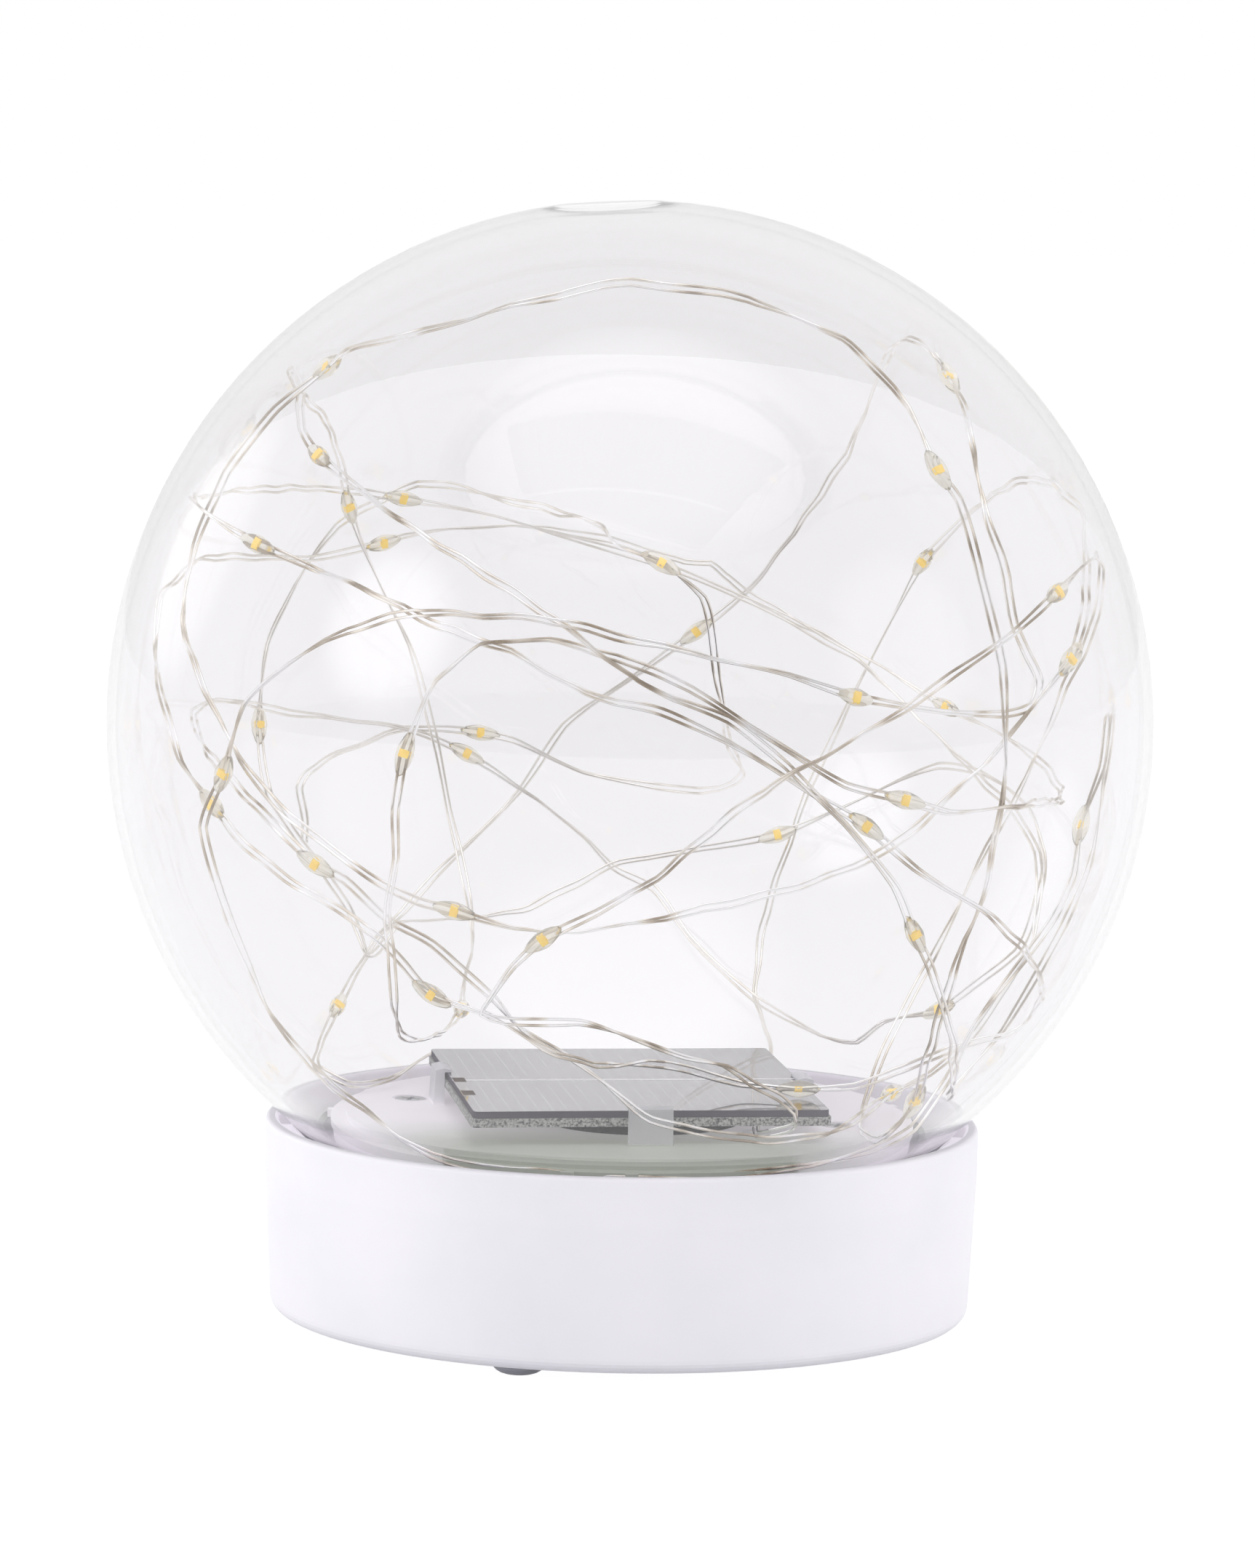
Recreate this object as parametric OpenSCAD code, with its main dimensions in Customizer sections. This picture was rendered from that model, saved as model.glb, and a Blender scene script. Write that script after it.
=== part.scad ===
// Floating solar pool light: a clear ball on a round base. A springy wire with light drops winds
// round the inside of the ball, and a solar panel lies flat on the base under it.
// Z is up, the origin is on the floor under the middle of the ball, and the front is -Y.

/* [Ball] */
// Outer diameter of the clear ball
ball_d = 150; // [146:1:160]
// Wall of the ball
ball_wall = 1.4; // [1:0.1:1.6]
// Outer diameter of the neck that plugs into the base
neck_d = 90; // [89:0.5:91]
// Wall of the neck
neck_wall = 1.6; // [1.2:0.1:1.8]
// Straight length of the neck below the ball
neck_l = 15.9; // [15.9:0.1:18]
// Diameter of the flat that the moulding gate leaves on top
gate_d = 15.5; // [8:0.5:18]
// Lean of that flat towards the left
gate_lean = 3.6; // [0:0.2:8]
// Width of each locking tab, in degrees
tab_angle = 40; // [24:1:46]
// Height of each locking tab
tab_h = 2.8; // [2:0.1:3]
// Reach of a locking tab beyond the neck
tab_reach = 3.3; // [2.4:0.1:3.6]

/* [Base cup] */
// Outer diameter of the cup at its rim
cup_d = 102.8; // [102:0.2:108]
// Height of the cup from its underside to its rim
cup_h = 27.7; // [27:0.1:30]
// Wall of the cup at the rim
cup_wall = 1.9; // [1.4:0.1:2.2]
// How much smaller the radius is at the bottom
cup_draft = 0.9; // [0:0.1:1.5]
// Round of the cup's bottom corner
cup_round = 2; // [0.6:0.2:3]
// Thickness of the floor
floor_t = 2.4; // [2:0.1:3]
// Space between the neck and the ring wall inside it
ring_gap = 1.4; // [1:0.1:1.6]
// Thickness of the ring wall
ring_wall = 2; // [1.4:0.1:2.4]
// Width of each locking lug, in degrees
lug_angle = 51; // [44:1:58]
// Thickness of a locking lug
lug_h = 3.6; // [3:0.1:4]
// Depth of the lugs' tops below the rim
lug_drop = 1.2; // [0.6:0.1:2]

/* [Lid] */
// Thickness of the lid's raised plate
lid_t = 1.8; // [1.4:0.1:2.2]
// Thickness of the flange that rests on the ring wall
flange_t = 1.2; // [0.8:0.1:1.6]
// Rise of the plate above the flange
lid_step = 1.1; // [0.8:0.1:1.6]
// Width of a panel clip
clip_w = 6.2; // [4:0.2:10]
// Thickness of a panel clip
clip_t = 1.4; // [1:0.1:2]
// How far a clip's nose reaches over the panel
clip_nose = 0.9; // [0.5:0.1:1.5]

/* [Solar panel] */
// Side of the panel along X
panel_w = 51; // [44:0.5:52]
// Side of the panel along Y
panel_l = 55; // [46:0.5:56]
// Turn of the panel on the lid
panel_turn = 8.4; // [0:0.2:12]
// Middle of the panel along X
panel_x = 0.3; // [-1:0.1:1]
// Middle of the panel along Y
panel_y = 0.9; // [-1:0.1:1]
// Thickness of the circuit board under the cells
board_t = 1.2; // [0.8:0.1:1.6]
// Thickness of the dark laminate on the board
laminate_t = 1; // [0.6:0.1:1.4]
// Margin of bare board round the laminate
laminate_margin = 0.3; // [0.1:0.1:1]
// Diameter of the foam pad under the panel
foam_d = 31; // [26:1:46]
// Thickness of the foam pad
foam_t = 2.5; // [2:0.1:3]

/* [Light string] */
// Thickness of each of the two wires
wire_d = 0.36; // [0.3:0.02:0.44]
// Distance between the two wires
wire_gap = 0.9; // [0.8:0.05:1]
// Length of a light drop
drop_l = 6.4; // [4:0.2:8]
// Thickness of a light drop at its middle
drop_d = 2.5; // [2:0.1:2.8]

/* [Battery] */
// Diameter of the rechargeable cell
cell_d = 14.2; // [13.5:0.1:14.5]
// Length of the cell with its nub
cell_l = 50.5; // [48:0.5:50.5]
// Length that the contact spring takes up
spring_l = 3.8; // [3.4:0.1:5]
// Space between the cell and the walls of its bay
cell_space = 1.4; // [1:0.1:1.6]
// Wall of the battery bay
bay_wall = 1.6; // [1.2:0.1:2]
// Thickness of the battery door
door_t = 1.6; // [1.4:0.1:1.8]
// Distance from the cell's bay to the middle of the base
bay_y = 14; // [13:0.5:15]

/* [Switch and board] */
// Diameter of the push button in the floor
button_d = 6.8; // [5:0.1:8]
// Travel of the push button
button_travel = 1.2; // [0.6:0.1:1.4]
// Width of the circuit board
pcb_w = 50; // [44:1:56]
// Depth of the circuit board
pcb_l = 22; // [18:1:22]
// Height of the circuit board's underside above the floor
pcb_rise = 8; // [7.6:0.1:10]

/* [Feet and seals] */
// Diameter of a rubber foot
foot_d = 8; // [6:0.5:9]
// Height of a rubber foot
foot_h = 2; // [1.5:0.1:3]
// Distance of the feet from the middle
foot_place = 42; // [38:0.5:44]
// Thickness of the flat gasket under the neck
gasket_t = 2; // [1.4:0.1:2.4]
// Height of the gasket's seat above the floor
gasket_rise = 4.6; // [4:0.1:6]

/* [Hidden] */
$fn = 96;
eps = 0.01;

// Clearances
neck_clear = 0.1; // neck above its gasket
turn_clear = 0.4; // tab under its lug, neck round the lid
seat_clear = 0.3; // soft pieces and the cell beside their seats
slide_clear = 0.1; // button in its hole

// Heights, from the floor up
floor_z = foot_h;
floor_top = floor_z + floor_t;
rim_z = floor_z + cup_h;
gasket_z = floor_top + gasket_rise;
neck_z = gasket_z + gasket_t + neck_clear;
ball_r = ball_d / 2;
neck_r = neck_d / 2;
ball_z = neck_z + neck_l + sqrt(ball_r * ball_r - neck_r * neck_r);
lug_top = rim_z - lug_drop;
tab_top = lug_top - lug_h - turn_clear;
cup_r = cup_d / 2;
cup_in = cup_r - cup_wall;
ring_out = neck_r - neck_wall - ring_gap;
ring_r = ring_out - ring_wall;
flange_r = ring_out + 0.3;
nib_r = neck_r - neck_wall - turn_clear;
lid_top = neck_z + neck_l + 3.6;
flange_top = lid_top - lid_step;
ring_top = flange_top - flange_t;
panel_z = lid_top + foam_t;
laminate_z = panel_z + board_t;
panel_top = laminate_z + laminate_t;

// Where things stand round the base, in degrees from the front towards the right
lug_angles = [-60, 60, 180];
foot_angles = [-19, 101, 221];
lid_screw_angles = [76, 256];
lid_screw_place = ring_r - 8.1;
nib_angles = [-10, 2, 27, 110, 122, 147, 230, 242, 267]; // nibs that centre the lid in the neck

// Battery bay
bay_l = cell_l + spring_l + 2.2;
bay_w = cell_d + 2 * cell_space;
cell_z = floor_top + 2.4 + cell_d / 2;
bay_top = cell_z + cell_d / 2 + 0.6;
cell_back = bay_l / 2 - 0.4 - spring_l; // flat end of the cell, against the spring
nub_l = 1.3;
door_l = bay_l + 13;
door_w = bay_w + 7;
seal_t = floor_t - door_t - 0.05; // a little thinner than its groove
door_screw_x = bay_l / 2 + 3.9;
ledge_t = 2;
skirt_h = 2; // of the lid, inside the ring wall

// Circuit board and switch
pcb_y = -14;
pcb_t = 1.2;
pcb_z = floor_top + pcb_rise;
pcb_post_x = pcb_w / 2 - 4;
pcb_screw_y = pcb_y - pcb_l / 2 + 4;
switch_x = 0;
seal_h = 0.6;
button_flange_z = floor_top + seal_h;
button_post_z = button_flange_z + 1.3;
press_room = button_travel + 0.3; // free way of the button and its plunger
switch_z = button_post_z + press_room;

// The light string, from the lid to its free end. Each row is the stretch from one light drop to
// the next, and the first row is the lead before the first drop. A row starts with the radius at
// which that stretch lies, so that stretches that cross keep clear of each other. Each point is
// x, height over the ball's middle, and its share of the way from the middle plane to the wall,
// where -1 is the front wall and 1 is the back wall.
string_rows = [
    [72, [[19, -57, -.43], [19, -55, -.42], [19, -55, -.6], [21, -54, -.68], [23, -53, -.73],
        [24, -52, -.76], [24, -50, -.75], [22, -48, -.71], [18, -46, -.69], [14, -43, -.69],
        [8, -41, -.74], [1, -38, -.8], [-6, -35, -.88], [-16, -34, -1], [-19, -33, -1],
        [-18, -31, -1], [-15, -26, -1]]],
    [72, [[-11, -22, -1], [-4, -18, -1], [4, -13, -1], [13, -5, -1], [20, 0, -1], [31, 6, -1],
        [38, 10, -1], [51, 18, -1]]],
    [72, [[58, 23, -1], [63, 26, -.9], [66, 26, -.5], [67, 24, -.1], [67, 17, .1], [63, 6, .2],
        [58, -8, .3], [52, -21, .4], [45, -36, .4], [38, -48, .2], [35, -55, 0], [34, -56, -.5],
        [36, -56, -.8], [39, -53, -.8]]],
    [70.8, [[41, -50, -.8], [42, -42, -.9], [45, -27, -1], [49, -15, -1], [51, 1, -1], [50, 14, -1],
        [47, 27, -1], [44, 36, -1]]],
    [72, [[41, 40, -1], [37, 48, -1], [28, 57, -1], [15, 62, -1], [-1, 64, -1], [-16, 61, -1],
        [-30, 56.5, -1], [-39, 54, -1]]],
    [69.6, [[-43, 51, -1], [-50, 45, -1], [-57, 36, -1], [-61, 26, -1], [-62, 16, -1], [-58, 7, -1],
        [-53, -1, -1], [-46, -8, -1], [-33, -16, -1], [-28, -18, -1]]],
    [69.6, [[-23, -19, -1], [-15, -21, -1], [-6, -21, -1], [9, -18, -1], [25, -14, -1],
        [35, -10, -1], [48, 1, -1], [57, 10, -1]]],
    [72, [[60, 14, -1], [63, 21, -.8], [64, 27, -.4], [64, 32, 0], [61, 35, .4], [57, 35, .8],
        [51, 29, 1]]],
    [72, [[44, 20, 1], [39, 9, 1], [33, -4, 1], [26, -21, 1], [21, -37, 1], [20, -47, 1],
        [22, -52, .95], [22, -55, .86], [20, -56, .84], [16, -56, .85], [0, -56, .86], [-16, -55, .84],
        [-28, -53, .76], [-34, -55, .5], [-40, -55, .4], [-45, -53, .6], [-45, -51, .9]]],
    [72, [[-43, -47, 1], [-38, -39, 1], [-29, -30, 1], [-17, -18, 1], [-10, -8, 1], [-2, -2, 1]]],
    [72, [[10, 7, 1], [18, 14, 1], [25, 24, 1], [32, 36, 1], [36, 49, .9], [37, 54, .6],
        [39, 56, .2], [42, 54, -.3]]],
    [68.4, [[44, 51, -.6], [46, 46, -1], [48, 34, -1], [51, 25, -1], [52, 19, -1], [56, 11, -1],
        [55, 8, -1], [51, 7, -1], [43, 8, -1], [33, 10, -1]]],
    [72, [[30, 11, -1], [21, 14, -1], [8, 17, -1], [-2, 19, -1], [-12, 21, -1], [-21, 21, -1],
        [-29, 21, -1], [-38, 18, -1], [-46, 13, -1], [-52, 7, -1], [-54, 1, -1]]],
    [72, [[-55, -3, -1], [-58, -11, -1], [-54, -24, -1], [-49, -36, -1], [-43, -44, -1],
        [-36, -51, -.9], [-26, -56, -.98], [-14, -56, -.99], [0, -56, -.99], [14, -56, -.99],
        [26, -56, -.98], [35, -56, -.96], [41, -54, -.9], [46, -48, -.6], [50, -40, -.4],
        [56, -33, -.3], [62, -25, -.2], [64, -20, -.2]]],
    [72, [[65, -13, -.1], [68, -5, 0], [69, 2, .1], [70, 2, .4], [69, -10, .4], [67, -21, .4],
        [64, -29, .4], [55, -44, .2], [47, -53, -.2], [47, -51, -.6], [46, -46, -.9],
        [45, -38, -1], [41, -26, -1]]],
    [70.8, [[39, -22, -1], [36, -15, -1], [29, -6, -1], [21, 2, -1], [13, 8, -1], [1, 13, -1],
        [-9, 20, -1], [-21, 27, -1], [-32, 33, -1]]],
    [70.8, [[-43, 40, -1], [-46, 43, -.9], [-47, 48, -.6], [-49, 50, -.2], [-50, 49, .3],
        [-49, 46, .6], [-46, 41, .9], [-44, 33, 1]]],
    [69.6, [[-43, 27, 1], [-40, 18, 1], [-34, 5, 1], [-30, -9, 1], [-26, -25, .95], [-23, -37, .8],
        [-24, -43, .6]]],
    [72, [[-24, -45, .4], [-26, -46, .1], [-29, -44, -.3], [-31, -40, -.7], [-31, -32, -.98],
        [-32, -21, -1], [-31, -12, -1], [-31, -5, -1]]],
    [69.6, [[-30, 2, -1], [-26, 12, -1], [-20, 17, -1], [-11, 18, -1], [-2, 16, -1], [8, 12, -1],
        [18, 6, -1], [29, -1, -1]]],
    [72, [[37, -3, -1], [43, -5, -1], [51, -5, -1], [57, -6, -.8], [61, -8, -.4], [62, -8, 0],
        [60, -6, .5], [55, -4, .8]]],
    [70.8, [[48, -2, 1], [35, 5, 1], [20, 12, 1], [14, 16, 1], [12, 18, 1], [8, 18, 1], [1, 20, 1],
        [-13, 23, 1], [-28, 23, 1], [-35, 22, 1]]],
    [70.8, [[-38, 21, 1], [-49, 19, 1], [-56, 20, 1], [-64, 21, .8], [-66, 19, .5], [-68, 17, .1],
        [-68, 11, -.3], [-65, 4, -.8], [-62, -3, -.9]]],
    [69.6, [[-57, -8, -1], [-52, -13, -1], [-46, -17, -1], [-34, -23, -1]]],
    [70.8, [[-26, -31, -1], [-17, -34, -1], [-11, -38, -1], [-4, -41, -.9],
        [4, -45, -.5], [10, -48, -.25], [17, -50, -.26]]],
    [72, [[25, -50.3, -.3], [33, -50, -.3], [40, -48, -.25], [46, -45, -.3], [55, -43, -.4],
        [58, -41, -.5], [59, -37, -.7], [58, -32, -.9], [54, -25, -1], [48, -19, -1],
        [39, -13, -.95]]],
    [67.2, [[32, -7, -1], [24, -2, -1], [13, 5, -1], [3, 9, -1], [-6, 11, -1], [-16, 16, -1],
        [-26, 19, -1], [-36, 23, -1], [-43, 25, -1]]],
    [72, [[-51, 28, -1], [-59, 31, -1], [-63, 32, -.3], [-63, 31, .3], [-58, 31, .8],
        [-48, 30, 1], [-41, 29, 1]]],
    [69.6, [[-35, 28, 1], [-21, 25, 1], [-8, 21, 1], [6, 17, 1], [19, 12, 1], [35, 4, 1],
        [44, -4, 1], [52, -11, 1], [58, -16, 1], [61, -21, 1], [61, -24, .9], [60, -32, .9],
        [56, -39, .8], [50, -47, .7], [45, -51, .4]]],
    [69.6, [[39, -53, 0], [35, -53, -.5], [29, -54, -.85], [20, -54, -.9], [10, -52, -.88],
        [4, -50, -.88], [-1, -46, -.86], [-6, -42, -.85], [-14, -36, -.92], [-18, -31, -1],
        [-26, -24, -1], [-32, -21, -1], [-38, -16, -1]]],
    [70.8, [[-42, -14, -1], [-48, -9, -1], [-57, -3, -.8], [-61, -1, -.4], [-63, 0, .1],
        [-61, 0, .6], [-49, -5, 1], [-34, -8, 1]]],
    [70.8, [[-25, -12, 1], [-10, -22, 1], [-2, -29, 1], [4, -32, 1], [10, -39, 1], [20, -47, 1],
        [30, -51, 1], [35, -51, 1], [39, -48, 1]]],
    [70.8, [[47, -45, 1], [53, -40, 1], [58, -35, 1], [61, -28, 1], [62, -21, 1],
        [60, -15, 1], [53, -11, 1], [47, -11, 1], [32, -19, 1]]],
    [68.4, [[23, -23, 1], [10, -26, 1], [-1, -28, 1], [-16, -35, 1], [-27, -36, 1], [-34, -36, 1],
        [-37, -39, 1], [-38, -40, 1], [-39, -40, 1], [-40, -38, 1], [-42, -33, 1], [-48, -25, 1],
        [-54, -16, 1]]],
    [72, [[-56, -6, 1], [-55, 6, 1], [-51, 15, 1], [-45, 24, 1], [-33, 30, 1], [-18, 29, .6],
        [-5, 28, .1], [-2, 26, -.1]]],
    [70.8, [[4, 24, -.15], [10, 19, -.1], [13, 3, .1], [15, -6, .4], [17, -11, .6], [16, -14, .75],
        [11, -17, .95], [4, -17, 1], [-7, -15, 1], [-18, -10, 1]]],
    [72, [[-23, -9, 1], [-34, -8, 1], [-46, -12, 1], [-49, -14, 1], [-50, -16, 1],
        [-49, -21, 1], [-49, -24, 1]]]];

// A point of the string in space
function string_point(p, lay) =
    [p[0], p[2] * sqrt(max(1, lay * lay - p[0] * p[0] - p[1] * p[1])), p[1]];
string_path = [for (row = string_rows) for (p = row[1]) string_point(p, row[0])];
string_end = len(string_path) - 1;

function unit(v) = v / norm(v);
// Direction of the string at a point, and the direction across it along the wall of the ball
function along(i) = unit(string_path[min(i + 1, string_end)] - string_path[max(i - 1, 0)]);
function across(i) = unit(cross(string_path[i], along(i)));
function outward(i) = cross(along(i), across(i));
// Middle line of one of the two wires
function wire_line(side) =
    [for (i = [0:string_end]) string_path[i] + side * wire_gap / 2 * across(i)];
wire_lines = [wire_line(-1), wire_line(1)];
function path_length(line, i = 1) =
    i < len(line) ? norm(line[i] - line[i - 1]) + path_length(line, i + 1) : 0;
echo(string_length_mm = round(path_length(string_path)));

// Least distance between two straight stretches, from a to b and from c to d
function share(x) = min(max(x, 0), 1);
function stretch_gap(a, b, c, d) =
    let (u = b - a, v = d - c, w = a - c, uv = u * v, spread = max(u * u * (v * v) - uv * uv, 0.001),
        s = share((uv * (v * w) - v * v * (u * w)) / spread),
        t = share((uv * s + v * w) / (v * v)))
    norm(w + share((uv * t - u * w) / (u * u)) * u - t * v);
// Stretches of the string that come near each other, without those that follow one another
near_pairs = [for (i = [0:string_end - 1]) for (j = [i + 3:1:string_end - 1])
    let (p = string_path[i], q = string_path[i + 1], m = string_path[j], n = string_path[j + 1])
    if (norm(p + q - m - n) < norm(p - q) + norm(m - n) + 6) if (stretch_gap(p, q, m, n) < 3) [i, j]];
echo(least_gap_mm = min([for (a = wire_lines) for (b = wire_lines) for (k = near_pairs)
    stretch_gap(a[k[0]], a[k[0] + 1], b[k[1]], b[k[1] + 1])]) - wire_d);

// Places a child at a distance from the middle, at an angle from the front towards the right
module around(angles, place) {
    for (a = angles) rotate([0, 0, a]) translate([0, -place, 0]) children();
}

// A ring of square section, over an angle centred on the front
module arc_bar(inner, outer, z, h, angle) {
    rotate([0, 0, -90 - angle / 2]) rotate_extrude(angle = angle)
        translate([inner, z]) square([outer - inner, h]);
}

// A flat-topped block with round corners
module round_block(size, r) {
    linear_extrude(size[2]) hull() for (x = [-1, 1]) for (y = [-1, 1])
        translate([x * (size[0] / 2 - r), y * (size[1] / 2 - r)]) circle(r, $fn = 32);
}

// A tube of radius r along a line, with rings that face the line's direction
module swept_tube(line, r, sides, across_list) {
    n = len(line);
    rings = [for (i = [0:n - 1])
        let (t = unit(line[min(i + 1, n - 1)] - line[max(i - 1, 0)]),
            u = unit(cross(across_list[i], t)), w = cross(t, u))
        for (k = [0:sides - 1]) line[i] + r * (cos(360 * k / sides) * u + sin(360 * k / sides) * w)];
    wall = [for (i = [0:n - 2]) for (k = [0:sides - 1])
        let (a = i * sides + k, b = i * sides + (k + 1) % sides)
        each [[a, a + sides, b], [b, a + sides, b + sides]]];
    first = [for (k = [1:sides - 2]) [0, k, k + 1]];
    last = [for (k = [1:sides - 2]) [(n - 1) * sides, (n - 1) * sides + k + 1, (n - 1) * sides + k]];
    polyhedron(concat(rings, [line[0]]), concat(wall, first, last), convexity = 10);
}

// A screw that points down from z = 0, under its head
module screw(head_d, head_h, shank_d, length, countersunk = false) {
    difference() {
        union() {
            if (countersunk) translate([0, 0, -head_h]) cylinder(h = head_h, d1 = shank_d, d2 = head_d);
            else cylinder(h = head_h, d = head_d);
            translate([0, 0, -length]) cylinder(h = length, d = shank_d);
        }
        for (a = [0, 90]) rotate([0, 0, a])
            translate([-head_d * 0.3, -0.3, (countersunk ? 0 : head_h) - 0.7])
                cube([head_d * 0.6, 0.6, 1]);
    }
}

// Outline of the cup's wall and floor, to be turned round the middle
module cup_outline() {
    low_r = cup_r - cup_draft;
    rim = cup_wall / 2 - 0.3;
    polygon(concat([[0, floor_z]],
        [for (a = [-90:15:0]) [low_r - cup_round + cup_round * cos(a),
            floor_z + cup_round + cup_round * sin(a)]],
        [[cup_r, floor_z + cup_h * 0.75]],
        [for (a = [0:15:90]) [cup_r - rim + rim * cos(a), rim_z - rim + rim * sin(a)]],
        [for (a = [90:15:180]) [cup_in + rim + rim * cos(a), rim_z - rim + rim * sin(a)]],
        [[cup_in - cup_draft, floor_top], [0, floor_top]]));
}

module base_cup() color("#f4f4f9") {
    difference() {
        union() {
            rotate_extrude() cup_outline();
            // Ring wall, with the posts for the lid's screws
            difference() {
                translate([0, 0, floor_top - eps]) cylinder(h = ring_top - floor_top + eps, r = ring_out);
                translate([0, 0, floor_top - 1]) cylinder(h = ring_top, r = ring_r);
            }
            around(lid_screw_angles, lid_screw_place) translate([0, 0, floor_top - eps]) {
                cylinder(h = ring_top - floor_top + eps, d = 7);
                translate([-0.6, lid_screw_place - ring_r - 1, 0])
                    cube([1.2, ring_r + 1 - lid_screw_place, ring_top - skirt_h - 0.5 - floor_top]);
            }
            // Seat of the neck's gasket
            translate([0, 0, floor_top - eps]) difference() {
                cylinder(h = gasket_rise + eps, r = neck_r + 1.5);
                translate([0, 0, -1]) cylinder(h = gasket_rise + 2, r = ring_r + 1);
            }
            // Locking lugs, each with a stop at one end
            for (a = lug_angles) rotate([0, 0, a]) {
                lug();
                rotate([0, 0, -lug_angle / 2 + 3]) arc_bar(neck_r + 1, cup_in + 0.5,
                    tab_top - tab_h, lug_h + tab_h + turn_clear - 1.5, 4);
            }
            bay_box();
            // Posts of the circuit board and the guide of the button
            for (x = [-1, 1]) for (y = [pcb_screw_y, pcb_y + pcb_l / 2 - 4])
                translate([x * pcb_post_x, y, floor_top - eps]) cylinder(h = pcb_rise + eps, d = 5);
        }
        bay_space();
        around(lid_screw_angles, lid_screw_place)
            translate([0, 0, ring_top - 10]) cylinder(h = 11, d = 2.3);
        for (x = [-1, 1]) translate([x * pcb_post_x, pcb_screw_y, pcb_z - 6]) cylinder(h = 7, d = 1.9);
        translate([switch_x, pcb_y, floor_z - 1]) cylinder(h = floor_t + 2, d = button_d + 2 * slide_clear);
        around(foot_angles, foot_place)
            translate([0, 0, floor_z - eps]) cylinder(h = 0.6 + eps, d = foot_d + 0.2);
    }
}

// One lug, whose inner face slopes back to clear the ball
module lug() {
    z = lug_top - lug_h;
    ball_side = sqrt(ball_r * ball_r - pow(ball_z - lug_top, 2)) + turn_clear + 0.3;
    rotate([0, 0, -90 - lug_angle / 2]) rotate_extrude(angle = lug_angle)
        polygon([[neck_r + turn_clear + 0.2, z], [cup_in + 0.4, z], [cup_in + 0.4, lug_top],
            [ball_side, lug_top], [neck_r + turn_clear + 0.2, lug_top - 2]]);
}

// Closed box over the cell, with a ledge and bosses for the door
module bay_box() {
    translate([0, bay_y, floor_top - eps]) {
        translate([-bay_l / 2 - bay_wall, -bay_w / 2 - bay_wall, 0])
            cube([bay_l + 2 * bay_wall, bay_w + 2 * bay_wall, bay_top + bay_wall - floor_top]);
        round_block([door_l + 3, door_w + 3, ledge_t], 5);
        for (x = [-1, 1]) translate([x * door_screw_x, 0, 0]) cylinder(h = 7, d = 6);
    }
}

module bay_space() {
    translate([0, bay_y, 0]) {
        translate([-bay_l / 2, -bay_w / 2, floor_z]) cube([bay_l, bay_w, bay_top - floor_z]);
        translate([0, 0, floor_z - 1]) round_block([door_l, door_w, floor_t + 1], 4);
        for (x = [-1, 1]) translate([x * door_screw_x, 0, floor_top - 1]) cylinder(h = 6.5, d = 1.9);
    }
}

module ball() color("#eef2f6", 0.25) {
    difference() {
        union() {
            intersection() {
                translate([0, 0, ball_z]) sphere(ball_r, $fn = 180);
                translate([0, 0, neck_z + neck_l]) cylinder(h = ball_d + 1, r = ball_d);
            }
            translate([0, 0, neck_z]) cylinder(h = neck_l + eps, r = neck_r);
            for (a = lug_angles) rotate([0, 0, a])
                arc_bar(neck_r - 0.5, neck_r + tab_reach, tab_top - tab_h, tab_h, tab_angle);
        }
        translate([0, 0, ball_z]) sphere(ball_r - ball_wall, $fn = 180);
        translate([0, 0, neck_z - 1]) cylinder(h = neck_l + 2, r = neck_r - neck_wall);
        translate([0, 0, ball_z]) rotate([0, -gate_lean, 0])
            translate([0, 0, sqrt(ball_r * ball_r - gate_d * gate_d / 4)]) cylinder(h = 5, r = gate_d);
    }
}

module neck_gasket() color("#3a3a3e") {
    translate([0, 0, gasket_z]) difference() {
        cylinder(h = gasket_t, r = neck_r + 0.8);
        translate([0, 0, -1]) cylinder(h = gasket_t + 2, r = ring_out + 0.6);
    }
}

module inner_lid() color("#cfd6cd") {
    difference() {
        union() {
            translate([0, 0, ring_top]) cylinder(h = flange_t, r = flange_r);
            for (a = nib_angles) rotate([0, 0, a])
                arc_bar(flange_r - 1, nib_r, ring_top, flange_t, 2.4);
            translate([0, 0, ring_top]) cylinder(h = lid_top - ring_top, r = ring_r);
            translate([0, 0, ring_top - skirt_h]) difference() {
                cylinder(h = skirt_h + eps, r = ring_r - slide_clear - 0.1);
                translate([0, 0, -1]) cylinder(h = skirt_h + 2, r = ring_r - 1.6);
            }
            panel_place() for (clip = clip_places) panel_clip(clip[0], clip[1]);
        }
        translate([0, 0, ring_top - 1]) cylinder(h = lid_top - lid_t - ring_top + 1, r = ring_r - 1.6);
        around(lid_screw_angles, lid_screw_place) {
            translate([0, 0, ring_top - 1]) cylinder(h = 5, d = 3);
            translate([0, 0, lid_top - 1.1]) cylinder(h = 2, d = 5.4);
        }
        translate([grommet_at[0], grommet_at[1], lid_top - 4]) cylinder(h = 5, d = grommet_d);
        panel_place() translate([-lead_place[0], lead_place[1], lid_top - 4]) cylinder(h = 5, d = 3.4);
    }
    // Pads under the screw heads
    around(lid_screw_angles, lid_screw_place) difference() {
        translate([0, 0, ring_top]) cylinder(h = lid_top - 1.1 - ring_top, d = 7);
        translate([0, 0, ring_top - 1]) cylinder(h = 5, d = 3);
    }
}

clip_places = [[0, -1.5], [180, -8.3], [270, -0.4]];

// Brings a child that is drawn round the panel's middle to the panel's place
module panel_place() {
    translate([panel_x, panel_y, 0]) rotate([0, 0, panel_turn]) children();
}

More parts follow.
